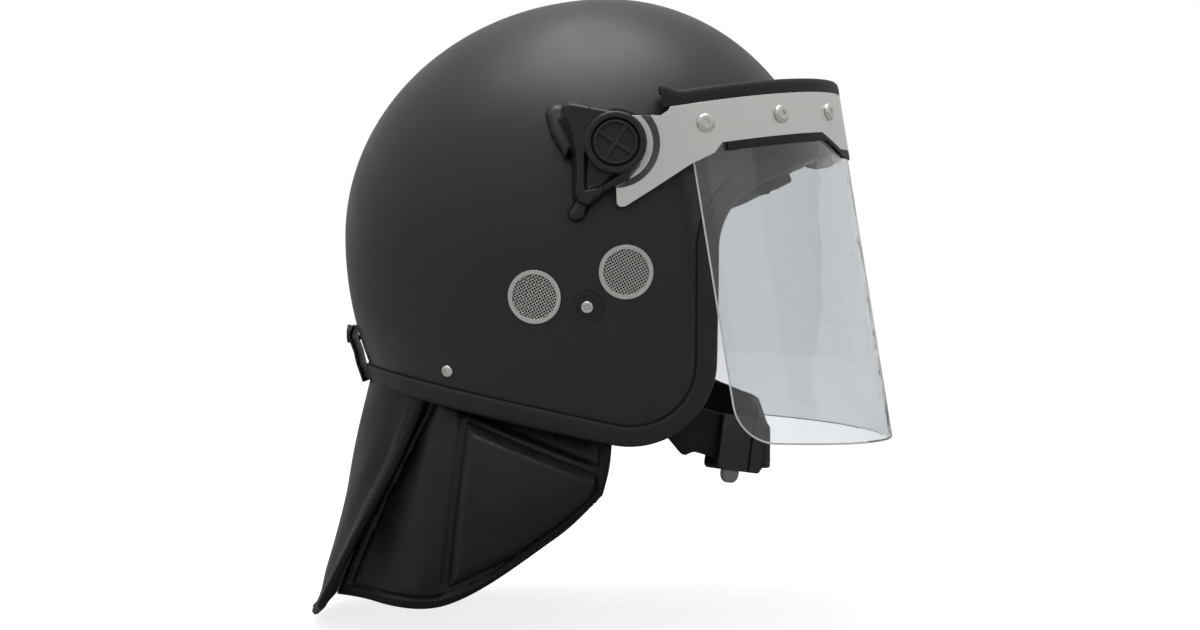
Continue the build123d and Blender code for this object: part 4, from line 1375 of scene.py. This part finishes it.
    def build(self) -> None:
        """Makes the two covers and dresses the other pieces of the pivots."""
        for side in Side:
            dress(Finishes.nylon, f"pivot_base_{side.word}")
            self.make_cover(side)
            dress(Finishes.knob, f"tension_knob_{side.word}")
        dress(Finishes.trim, "pivot_friction_washers")
        dress(Finishes.rivet, "pivot_screws")


@dataclass
class ChinStrap:
    """The webbing from anchor to anchor, its chin pad and the buckle."""

    width: float = 24.0
    thickness: float = 4.0
    plan_points: Outline = (
        (106.0, 22.0), (74.5, -44.0), (42.0, -92.0), (-42.0, -92.0), (-74.5, -44.0), (-106.0, 22.0),
    )
    plan_radius: float = 18.0
    side_points: Outline = ((19.0, -27.0), (-44.0, -108.0), (-68.0, -118.0), (-120.0, -128.0))
    side_radius: float = 14.0
    line_points: int = 700
    section: Outline = ((1, 0.1), (0.985, 0.62), (0.94, 0.9), (0.86, 1), (0.8, 0.86), (0.74, 1), (0.4, 1))
    buckle_y: float = -72.0
    top_y: float = 14.0
    slack: float = 15.0
    slack_across: Flat = (-38.0, 62.0)
    slack_along: Flat = (-62.0, 5.0)
    pad_voxel: float = 2.4
    pad_shrink: float = 0.8
    pad_cap: float = 1.6
    anchor: Flat = (11.6, -40.8)
    head_radius: float = 3.5
    head_low: float = 0.5
    head_rise: float = 1.6
    head_rings: int = 40
    head_sides: int = 72
    recess_depth: float = 1.1
    recess_turn: float = 0.6
    recess_half_width: Flat = (0.3, 0.6)
    recess_half_length: Flat = (1.6, 2.1)

    def centre_line(self) -> tuple[Points, Points]:
        """The strap's centre line and how steeply it falls.

        Returns:
            Points in millimetres from the left anchor round the chin to the right one, and the slope at each.
        """
        plan = rounded_path(self.plan_points, [self.plan_radius] * 4)
        y, z = rounded_path(self.side_points, [self.side_radius] * 2)[::-1].T
        line = resample(np.column_stack([plan, np.interp(plan[:, 1], y, z)]), self.line_points)
        line = line[line[:, 1] < self.top_y]
        step = 2.0
        ahead, behind = np.interp(line[:, 1] - step, y, z), np.interp(line[:, 1] + step, y, z)
        return line, (behind - ahead) / (2 * step)

    def hang(self, line: Points) -> Points:
        """Lifts the far half of the loop, which hangs slack, clear of the buckle's half.

        Args:
            line: The centre line, in millimetres.

        Returns:
            The lifted centre line.
        """
        near = 1 - smooth(*self.slack_along, line[:, 1])
        lift = self.slack * smooth(*self.slack_across, line[:, 0]) * near
        return line + np.column_stack([np.zeros((len(line), 2)), lift])

    def screw_heads(self) -> None:
        """Makes the pan heads of the anchor screws with their cross recesses."""
        rings, turns = np.sin(np.linspace(0.02, math.pi / 2, self.head_rings)), full_turn(self.head_sides)
        u, v = (np.outer(rings, f(turns)) * self.head_radius for f in (np.cos, np.sin))
        c, s = math.cos(self.recess_turn), math.sin(self.recess_turn)
        one, two = abs(u * c + v * s), abs(v * c - u * s)
        slots = [
            (1 - smooth(*self.recess_half_width, a)) * (1 - smooth(*self.recess_half_length, b))
            for a, b in ((one, two), (two, one))
        ]
        dome = self.head_rise * np.sqrt(1 - rings**5)[:, None]
        height = self.head_low + dome - self.recess_depth * np.maximum(*slots)
        faces = [*grid_faces(*u.shape, close_columns=True), tuple(range(self.head_sides))]
        spots = [SHELL.spot(*self.anchor, side) for side in Side]
        heads = joined([(spot.at(u, v, height).reshape(-1, 3), faces) for spot in spots])
        make_piece("strap_anchor_pan_heads", heads, Finishes.rivet, Body.HELMET, ["strap_anchor_screws"])

    def ribbon(self, name: str, line: Points, slope: Points, node: str) -> None:
        """One length of webbing with rounded edges and a sewn line near each.

        Args:
            name: The piece's name.
            line: The centre line, in millimetres.
            slope: The fall of the centre line seen from the side.
            node: The CAD node that it stands for.
        """
        along = unit(np.gradient(line[:, :2], axis=0))
        out = np.column_stack([-along[:, 1], along[:, 0]])
        half = self.width / 2 * np.sqrt(1 + slope**2)
        edge = np.array(self.section)
        face = np.concatenate([edge * (-1, 1), [(0, 1)], edge[::-1]])
        rings = [
            np.column_stack([line[:, :2] + out * (self.thickness / 2 * bulge), line[:, 2] + half * share])
            for share, bulge in np.concatenate([face, face[::-1] * (1, -1)])
        ]
        tape = loft(np.stack(rings, axis=1) * MM)
        make_piece(name, tape, Finishes.webbing, Body.HELMET, [node], crease=60)

    def build(self) -> None:
        """Makes both lengths of webbing and the chin pad, and dresses the buckle."""
        line, slope = self.centre_line()
        long = (line[:, 0] >= 0) | (line[:, 1] < self.buckle_y)
        line = self.hang(line)
        for side, kept in ((Side.LEFT, long), (Side.RIGHT, ~long)):
            self.ribbon(f"webbing_chin_strap_{side.word}", line[kept], slope[kept], f"chin_strap_{side.word}")
        pads = LinerAndPads(voxel=self.pad_voxel, shrink=self.pad_shrink, cap=self.pad_cap)
        pads.pad("chin_pad", "leather_chin_pad", Finishes.leather, None)
        dress(Finishes.nylon, "buckle_body", "strap_anchor_washers")
        dress(Finishes.pull, "buckle_release_tab")
        dress(Finishes.rivet, "strap_anchor_nuts")
        self.screw_heads()


def through(stations: Sequence[Sequence[float]], shares: Points) -> Points:
    """A smooth line through a few stations.

    Args:
        stations: The points that the line passes, in order.
        shares: Places along it, from 0 to 1.

    Returns:
        The points at those places.
    """
    knots = np.array(stations, float)
    place = np.clip(shares, 0, 1) * (len(knots) - 1)
    slopes = np.gradient(knots, axis=0)
    left = np.minimum(place.astype(int), len(knots) - 2)
    t = (place - left)[:, None]
    a, b, da, db = knots[left], knots[left + 1], slopes[left], slopes[left + 1]
    ease = 3 * t**2 - 2 * t**3
    return (1 - ease) * a + (t**3 - 2 * t**2 + t) * da + ease * b + (t**3 - t**2) * db


def left_of(y: Points, z: Points, first: Flat, last: Flat) -> Points:
    """How far side-view points are to the left of a straight line, negative on its right."""
    ahead = unit(np.array(last, float) - np.array(first, float))
    return ahead[0] * (z - first[1]) - ahead[1] * (y - first[0])


@dataclass(frozen=True)
class Padding:
    """How a flap is padded and bordered, in millimetres."""

    border_rise: float
    furrow_depth: float
    inner_from: float
    edge_thickness: float
    fullness: float
    wave_seed: int
    wave_length: float
    wave_height: float
    wave_stretch: tuple[float, float, float]


@dataclass(frozen=True)
class Sewing:
    """Where a flap is sewn to the helmet: its bodies, the nodes it stands for and where it begins to bend."""

    body: Body
    nodes: tuple[str, ...]
    start: Vector
    end: Vector


@dataclass
class NeckGuard:
    """Three padded leather flaps sewn to a strip inside the rim. Stations go across, along and up."""

    tuck: float = 6.0
    binding_width: float = 6.5
    furrow_offset: float = 0.6
    stitch_inset: float = 1.4
    stitch_from: int = 6
    fill: float = 0.5
    down_points: int = 130
    padding_reach: float = 26.0
    waves: int = 7
    inner_waves: float = 0.4
    inner_folds: float = 0.9
    roll_radius: float = 2.2
    roll_share: float = 0.92
    side_points: int = 190
    side_padding: Padding = Padding(0.7, 1.3, 9.0, 3.4, 3.6, 11, 46.0, 0.8, (1, 1.5, 0.5))
    side_top: Outline = ((86.0, -2.0), (85.5, 40.0), (77.0, 72.0), (60.0, 102.0))
    side_middle: Stations = (
        (90.0, -0.5, -130.0), (96.0, 34.0, -138.0), (93.0, 84.0, -151.0), (56.5, 133.0, -151.0),
    )
    side_foot: Stations = (
        (86.0, 3.0, -144.5), (92.0, 30.0, -169.0), (88.0, 92.0, -206.0), (52.0, 155.5, -205.0),
    )
    sewn_share: float = 0.09
    side_start: tuple[float, ...] = (0.086, 0.05, -0.1052)
    side_end: tuple[float, ...] = (0.0885, 0.046, -0.1185)
    panel: Outline = (
        (3.5, -133.5), (79.0, -104.0), (88.0, -195.0), (70.5, -186.5), (50.0, -176.5), (28.0, -163.0),
        (10.5, -147.5),
    )
    panel_rise: float = 4.5
    panel_wall: Flat = (-0.5, 7.5)
    panel_crown: float = 1.4
    panel_crown_band: Flat = (4.0, 34.0)
    panel_border: tuple[float, ...] = (-1.6, -0.8, 1.5)
    seam: Outline = ((82.0, -100.0), (91.5, -200.0))
    seam_furrow: tuple[float, ...] = (-2.4, 0.0, 1.7)
    seam_roll: tuple[float, ...] = (3.0, 13.0, 9.0)
    behind_seam: Flat = (0.0, 10.0)
    hollow_depth: float = 5.5
    hollow_wall: Flat = (0.5, 7.0)
    hollow_rear: Flat = (-3.0, 4.0)
    hollow_edge: Flat = (3.0, 12.0)
    fold_line: Outline = ((104.0, -95.0), (137.0, -196.0))
    fold: tuple[float, ...] = (-2.2, 0.0, 10.5)
    front_waves: float = 0.35
    rear_points: int = 170
    rear_padding: Padding = Padding(0.8, 1.2, 10.0, 3.6, 5.0, 5, 62.0, 1.1, (0.8, 1.0, 1.0))
    rear_edge: Outline = ((66.0, 101.5), (70.0, 118.0), (68.0, 142.0), (60.0, 164.0))
    rear_middle: Outline = ((0.0, 139.4), (0.0, 149.8), (0.0, 160.0), (0.0, 175.2))
    rear_edge_z: tuple[float, ...] = (-127.0, -170.0, -211.0)
    rear_middle_z: tuple[float, ...] = (-128.0, -176.0, -223.5)
    rear_crown: float = 2.2
    rear_crown_reach: float = 30.0
    pinch: tuple[float, ...] = (-3.0, 0.34, 0.13)
    pinch_reach: float = 34.0
    rear_start: tuple[float, ...] = (0.0, 0.1385, -0.0868)
    rear_end: tuple[float, ...] = (0.0, 0.1425, -0.1)

    def sewn_top(self, y: float) -> float:
        """Height of a flap's sewn top edge, tucked up behind the rim, in millimetres."""
        return SHELL.rim_z(y * MM) / MM + self.tuck

    def arc_grid(self, first: Points, middle: Points, last: Points, shares: Points) -> Points:
        """A grid of arcs, each through three points.

        Args:
            first: The arcs' first points.
            middle: Their middle points.
            last: Their last points.
            shares: Places along each arc, from 0 to 1.

        Returns:
            The grid, arcs by places by 3.
        """
        s = shares[None, :, None]
        a, m, b = first[:, None], middle[:, None], last[:, None]
        return a * (1 - s) * (1 - 2 * s) + 4 * m * s * (1 - s) + b * s * (2 * s - 1)

    def outward(self, grid: Points, axis: int) -> Points:
        """Unit normals of a flap's grid, turned so that its middle faces out along an axis."""
        normals = grid_normals(grid)
        return normals * np.sign(normals[len(grid) // 2, grid.shape[1] // 2, axis])

    def edge_distance(self, grid: Points, sewn_top: bool) -> Points:
        """How far each point of a flap is from its edges, in the flap's own surface.

        Args:
            grid: The flap's grid.
            sewn_top: Whether the first column is sewn, and so doesn't count as an edge.

        Returns:
            The distance at each grid point.
        """
        across, down = walked(grid), walked(grid.transpose(1, 0, 2)).T
        sides = [across, across[-1:] - across, down[:, -1:] - down]
        return np.minimum.reduce(sides if sewn_top else [*sides, down])

    def wrinkles(self, grid: Points, padding: Padding) -> Points:
        """Slow seeded hollows and swells over a flap.

        Args:
            grid: The grid in millimetres.
            padding: The flap's padding.

        Returns:
            A height at each grid point.
        """
        random = np.random.default_rng(padding.wave_seed)
        stretched = grid * np.array(padding.wave_stretch)
        height = np.zeros(grid.shape[:2])
        for _ in range(self.waves):
            way = unit(random.normal(size=3))
            phase = random.uniform(0, math.tau)
            length = padding.wave_length * random.uniform(0.6, 1.7)
            height += np.sin(stretched @ way * math.tau / length + phase)
        return height / 4 * padding.wave_height

    def border(self, free: Points, padding: Padding) -> Points:
        """Height of the folded border and of the sewn furrow beside it.

        Args:
            free: How far each point is from the free edges.
            padding: The flap's padding.

        Returns:
            The height in millimetres.
        """
        seam = self.binding_width + self.furrow_offset
        fold = padding.border_rise * (1 - smooth(self.binding_width - 0.8, seam, free))
        return fold + ridge(free, -padding.furrow_depth, seam, 1.0)

    def inside_border(self, free: Points, padding: Padding) -> Points:
        """A share that goes from 0 at the border to 1 where the padding is in full."""
        return smooth(self.binding_width, self.binding_width + padding.inner_from, free)

    def thickness(self, free: Points, padding: Padding) -> Points:
        """How thick a flap is at distances from its free edges."""
        return padding.edge_thickness + padding.fullness * smooth(0, self.padding_reach, free)

    def panel_height(self, y: Points, z: Points) -> Points:
        """Height of the padded front panel over a side flap: flat on top, rolled over at its sewn border.

        Args:
            y: Places along the helmet.
            z: Heights.

        Returns:
            The height in millimetres.
        """
        sides = zip(self.panel, self.panel[1:] + self.panel[:1])
        inside = np.minimum.reduce([left_of(y, z, last, first) for first, last in sides])
        crown = self.panel_crown * smooth(*self.panel_crown_band, inside)
        return self.panel_rise * smooth(*self.panel_wall, inside) + ridge(inside, *self.panel_border) + crown

    def side_grid(self, side: Side) -> tuple[Points, Points]:
        """The outer and inner faces of a side flap, in metres.

        Args:
            side: Which flap.

        Returns:
            The two grids.
        """
        along, down = np.linspace(0, 1, self.side_points), np.linspace(0, 1, self.down_points)
        tops = [(x, y, self.sewn_top(y)) for x, y in self.side_top]
        grid = self.arc_grid(*(through(rows, along) for rows in (tops, self.side_middle, self.side_foot)), down)
        normals = self.outward(grid, 0)
        y, z = grid[..., 1], grid[..., 2]
        padding, edge = self.side_padding, self.binding_width
        free, off_seam = self.edge_distance(grid, sewn_top=True), left_of(y, z, *self.seam)
        rear, inner_part = smooth(*self.behind_seam, off_seam), self.inside_border(free, padding)
        below_top = smooth(0.0, self.sewn_share, down)[None, :]
        # On the outside alone: the border, the furrow between the two parts, the panel and a roll behind it
        furrow = ridge(off_seam, *self.seam_furrow) * inner_part
        panel = self.panel_height(y, z) * smooth(edge - 1, edge + 3, free)
        roll = ridge(off_seam, *self.seam_roll) * inner_part * rear
        relief = self.border(free, padding) + furrow + panel + roll
        # On both faces: a fold down the rear part, the hollow above the panel and slow wrinkles
        above = smooth(*self.hollow_wall, left_of(y, z, *self.panel[:2]))
        hollow = self.hollow_depth * above * (1 - smooth(*self.hollow_rear, off_seam))
        hollow = hollow * smooth(*self.hollow_edge, free)
        fold = ridge(left_of(y, z, *self.fold_line), *self.fold) * rear * below_top - hollow
        waves = self.wrinkles(grid, padding) * inner_part * (self.front_waves + (1 - self.front_waves) * rear)
        thick = padding.edge_thickness + (self.thickness(free, padding) - padding.edge_thickness) * below_top
        mirror = np.array([side.value, 1, 1]) * MM
        outer = grid + normals * (relief + fold + waves)[..., None]
        inner = grid + normals * (fold * self.inner_folds + waves * self.inner_waves - thick)[..., None]
        return outer * mirror, inner * mirror

    def rear_grid(self) -> tuple[Points, Points]:
        """The outer and inner faces of the rear flap, in metres.

        Returns:
            The two grids, across by down.
        """
        across, down = np.linspace(0, 1, self.rear_points), np.linspace(0, 1, self.down_points)
        left, middle = (
            through([(x, y, z) for (x, y), z in zip(rows, (self.sewn_top(rows[0][1]), *heights))], down)
            for rows, heights in ((self.rear_edge, self.rear_edge_z), (self.rear_middle, self.rear_middle_z))
        )
        grid = self.arc_grid(left, middle, left * np.array([-1, 1, 1]), across).transpose(1, 0, 2)
        normals = self.outward(grid, 1)
        padding, free = self.rear_padding, self.edge_distance(grid, sewn_top=True)
        inner_part = self.inside_border(free, padding)
        crown = self.rear_crown * smooth(self.binding_width, self.rear_crown_reach, free)
        pinch = ridge(down, *self.pinch)[None, :] * (1 - smooth(0, self.pinch_reach, free)) * inner_part
        waves = self.wrinkles(grid, padding) * inner_part
        outer = grid + normals * (self.border(free, padding) + crown + pinch + waves)[..., None]
        inner = grid + normals * (waves * self.inner_waves - self.thickness(free, padding))[..., None]
        return outer * MM, inner * MM

    def roll_edges(self, outer: Points, inner: Points) -> tuple[Points, Points]:
        """Rounds a slab's edges by drawing both faces in towards their middle.

        Args:
            outer: The outer grid in metres.
            inner: The inner grid.

        Returns:
            The two grids with rolled edges.
        """
        near = 1 - np.clip(self.edge_distance(outer, sewn_top=False) / MM / self.roll_radius, 0, 1)
        share = (self.roll_share * near**self.roll_radius)[..., None]
        middle = (outer + inner) / 2
        return outer + (middle - outer) * share, inner + (middle - inner) * share

    def bind(self, flap: Any, free: Points) -> None:
        """Dresses a flap's folded border, on its outside and round its edge, in a blacker leather that paints
        the shade on the turned border.

        Args:
            flap: The flap, whose outer faces come first, then its inner ones, then its edge.
            free: How far each outer point is from the free edges, in millimetres.
        """
        # The blacker binding finish is painted shade on the border where it turns away from the light
        flap.data.materials.append(Finishes.binding_painted_shade.material())
        middle = (free[:-1, :-1] + free[1:, :-1] + free[1:, 1:] + free[:-1, 1:]) / 4
        bound = np.ones(len(flap.data.polygons), np.int32)
        bound[: middle.size] = (middle < self.binding_width).ravel()
        bound[middle.size : 2 * middle.size] = 0
        flap.data.polygons.foreach_set("material_index", bound)

    def seam_path(self, free: Points) -> list[tuple[int, int]]:
        """The grid places that the border's stitches pass: down one side, along the foot and up the other.

        Args:
            free: How far each outer point is from the free edges, in millimetres.

        Returns:
            Rows and columns of the grid.
        """
        rows, columns = free.shape
        off_line = abs(free - self.binding_width + self.stitch_inset)
        middle, top = off_line[:, columns // 2], self.stitch_from
        first = int(np.argmin(middle[: rows // 2]))
        last = rows - 1 - int(np.argmin(middle[::-1][: rows // 2]))
        foot = int(np.argmin(off_line[rows // 2, columns // 2 :])) + columns // 2
        down, up = [(first, j) for j in range(top, foot)], [(last, j) for j in range(foot, top, -1)]
        return [*down, *((i, foot) for i in range(first, last)), *up]

    def make_flap(self, name: str, grids: tuple[Points, Points], sewing: Sewing) -> None:
        """Makes a flap from its faces, with its stitches.

        Args:
            name: The piece's name.
            grids: Its outer and inner grids.
            sewing: How it is sewn on.
        """
        outer, inner = self.roll_edges(*grids)
        flap = make_piece(name, closed_slab(outer, inner), Finishes.leather, None, sewing.nodes, crease=80)
        free = self.edge_distance(outer, sewn_top=True) / MM
        self.bind(flap, free)
        path = tuple(np.array(self.seam_path(free)).T)
        stitches = stitch_row(f"{name}_stitches", outer[path], grid_normals(outer)[path])
        for piece in (flap, stitches):
            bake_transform(piece)

    def build(self) -> None:
        """Makes the three flaps and dresses the strip and its screws."""
        for side, body in ((Side.LEFT, Body.LEFT_FLAP), (Side.RIGHT, Body.RIGHT_FLAP)):
            start, end = (Vector((side.value * x, y, z)) for x, y, z in (self.side_start, self.side_end))
            sewing = Sewing(body, (f"neck_flap_{side.word}", f"neck_panel_{side.word}"), start, end)
            self.make_flap(f"leather_flap_{side.word}", self.side_grid(side), sewing)
        sewing = Sewing(Body.REAR_FLAP, ("neck_flap_rear",), Vector(self.rear_start), Vector(self.rear_end))
        self.make_flap("leather_flap_rear", self.rear_grid(), sewing)
        dress(Finishes.trim, "neck_guard_strip")
        dress(Finishes.rivet, "neck_guard_screws")


@dataclass
class StrapRetainer:
    """The leather tab behind the shell that holds a goggle strap, with its snap."""

    half_width: float = 15.0
    thickness: float = 2.4
    line: Outline = ((151.4, -53.0), (153.2, -58.5), (149.6, -68.0), (148.0, -75.0), (144.2, -86.0))
    bend: float = 4.0
    corner: float = 6.0
    edge_radius: float = 1.2
    edge_thinning: float = 0.75
    seam: tuple[float, ...] = (-0.35, 2.6, 0.7)
    down_points: int = 90
    across_points: int = 41

    def build(self) -> None:
        """Makes the tab with a rounded end and a sewn edge, and dresses the snap."""
        path = resample(rounded_path(self.line, [self.bend] * 3), self.down_points)
        along = unit(np.gradient(path, axis=0))
        out = np.column_stack([-along[:, 1], along[:, 0]])
        near = np.clip(self.corner - walked(path), 0, self.corner)
        half = self.half_width - (self.corner - np.sqrt(self.corner**2 - near**2))
        shares = np.linspace(-1, 1, self.across_points)
        edge = (1 - np.abs(shares)) * self.half_width
        thin = self.edge_thinning * (1 - np.clip(edge / self.edge_radius, 0, 1)) ** 2
        under = self.thickness / 2 * (1 - thin)
        over = under + ridge(edge, *self.seam)
        x = half[:, None] * shares[None, :]
        outer, inner = (
            np.stack([x, path[:, :1] + out[:, :1] * lift, path[:, 1:] + out[:, 1:] * lift], axis=2) * MM
            for lift in (over, -under)
        )
        tab, name = closed_slab(outer, inner), "leather_strap_retainer"
        make_piece(name, tab, Finishes.leather, Body.RETAINER, ["strap_retainer_tab"], crease=70)
        dress(Finishes.knob, "strap_retainer_snap_cap")
        dress(Finishes.rivet, "strap_retainer_snap_stud")


@dataclass(frozen=True)
class SoftBox:
    """A square soft light: where it hangs, in metres, its side, its power and whether gloss shows it."""

    name: str
    place: tuple[float, float, float]
    size: float
    power: float
    reflected: bool


@dataclass
class Studio:
    """A pale floor and soft lights, with the camera where the photograph was taken from."""

    camera_place: tuple[float, float, float] = (-1.030, 0.0048, -0.0318)
    lens: float = 51.51
    sensor: float = 36.0
    shift_px: float = 25.0
    image_width_px: float = 1200.0
    clip: Flat = (0.01, 50.0)
    floor_level: float = -0.2262
    floor_size: float = 9.0
    floor_colour: str = "#a0a0a0"
    floor_glow: float = 0.8
    sky_stops: Outline = ((0.0, 0.1), (0.45, 0.46), (0.72, 0.62), (1.0, 0.9))
    boxes: tuple[SoftBox, ...] = (
        SoftBox("overhead_box", (-0.15, 0.1, 1.5), 1.2, 18.0, True),
        SoftBox("front_fill", (-1.5, -1.3, 0.5), 1.2, 3.0, False),
        SoftBox("rear_fill", (-0.9, 1.8, 0.5), 1.1, 5.0, False),
    )

    def camera(self) -> None:
        """Sets the camera level with the ears, square to the helmet's right side."""
        data = bpy.data.cameras.new("photo_camera")
        data.lens, data.sensor_width = self.lens, self.sensor
        data.shift_y = -self.shift_px / self.image_width_px
        data.clip_start, data.clip_end = self.clip
        item = add_object("photo_camera", data)
        item.location = self.camera_place
        item.rotation_euler = (math.radians(90), 0.0, math.radians(-90))
        bpy.context.scene.camera = item

    def seen_directly(self, tree: Any) -> Any:
        """Tells rays that show the background, straight or through the lens, from those that light the helmet.

        Args:
            tree: The node tree.

        Returns:
            A socket that is 1 for rays that show it.
        """
        rays = add_node(tree, "ShaderNodeLightPath").outputs
        links = {0: rays["Is Camera Ray"], 1: rays["Is Transmission Ray"]}
        return add_node(tree, "ShaderNodeMath", {"operation": "MAXIMUM"}, links).outputs["Value"]

    def world(self) -> None:
        """A white surround whose light on the helmet falls off from the ceiling down."""
        world = bpy.data.worlds.new("white_surround")
        bpy.context.scene.world = world
        tree = fresh_tree(world)
        shown = add_node(tree, "ShaderNodeBackground", {"Color": linear("#ffffff"), "Strength": 1.0})
        place = add_node(tree, "ShaderNodeTexCoord").outputs["Generated"]
        way = add_node(tree, "ShaderNodeSeparateXYZ", links={0: place})
        height = add_node(tree, "ShaderNodeMapRange", {"From Min": -1.0}, {"Value": way.outputs["Z"]})
        stops = [(place, (level, level, level, 1.0)) for place, level in self.sky_stops]
        sky = add_node(tree, "ShaderNodeValToRGB", {"stops": stops}, {"Fac": height.outputs["Result"]})
        lit = add_node(tree, "ShaderNodeBackground", links={"Color": sky.outputs["Color"]})
        links = {0: self.seen_directly(tree), 1: lit.outputs["Background"], 2: shown.outputs["Background"]}
        mixed = add_node(tree, "ShaderNodeMixShader", links=links)
        add_node(tree, "ShaderNodeOutputWorld", links={"Surface": mixed.outputs["Shader"]})

    def floor(self) -> None:
        """A pale floor that keeps the helmet's shadow."""
        half = self.floor_size / 2
        mesh = bpy.data.meshes.new("studio_floor")
        corners = [(-half, -half), (half, -half), (half, half), (-half, half)]
        mesh.from_pydata([(x, y, self.floor_level) for x, y in corners], [], [(0, 1, 2, 3)])
        material = bpy.data.materials.new("painted_floor")
        tree = fresh_tree(material)
        paint = add_node(tree, "ShaderNodeBsdfDiffuse", {"Color": linear(self.floor_colour)})
        glow = add_node(tree, "ShaderNodeEmission", {"Color": linear("#ffffff"), "Strength": self.floor_glow})
        dark = add_node(tree, "ShaderNodeEmission", {"Strength": 0.0})
        links = {0: self.seen_directly(tree), 1: dark.outputs["Emission"], 2: glow.outputs["Emission"]}
        seen = add_node(tree, "ShaderNodeMixShader", links=links)
        links = {0: paint.outputs["BSDF"], 1: seen.outputs["Shader"]}
        both = add_node(tree, "ShaderNodeAddShader", links=links)
        add_node(tree, "ShaderNodeOutputMaterial", links={"Surface": both.outputs["Shader"]})
        mesh.materials.append(material)
        add_object("studio_floor", mesh)

    def lights(self) -> None:
        """Hangs the soft boxes, all turned to the helmet."""
        for box in self.boxes:
            data = bpy.data.lights.new(box.name, "AREA")
            data.shape, data.size, data.energy = "SQUARE", box.size, box.power
            item = add_object(box.name, data)
            item.location = box.place
            item.rotation_euler = (-Vector(box.place)).to_track_quat("-Z", "Y").to_euler()
            item.visible_glossy = box.reflected

    def build(self) -> None:
        """Sets up the whole studio."""
        bpy.context.scene.view_settings.view_transform = "Standard"
        self.world()
        self.floor()
        self.lights()
        self.camera()


def main() -> None:
    """Builds every sub-assembly in order."""
    logging.basicConfig(level=logging.INFO, format="%(message)s")
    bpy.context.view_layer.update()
    for assembly in (
        HeadShell, EarVents, LinerAndPads, Visor, Pivots, ChinStrap, NeckGuard, StrapRetainer, Studio,
    ):
        log.info("building %s", assembly.__name__)
        assembly().build()


if __name__ == "__main__":
    main()
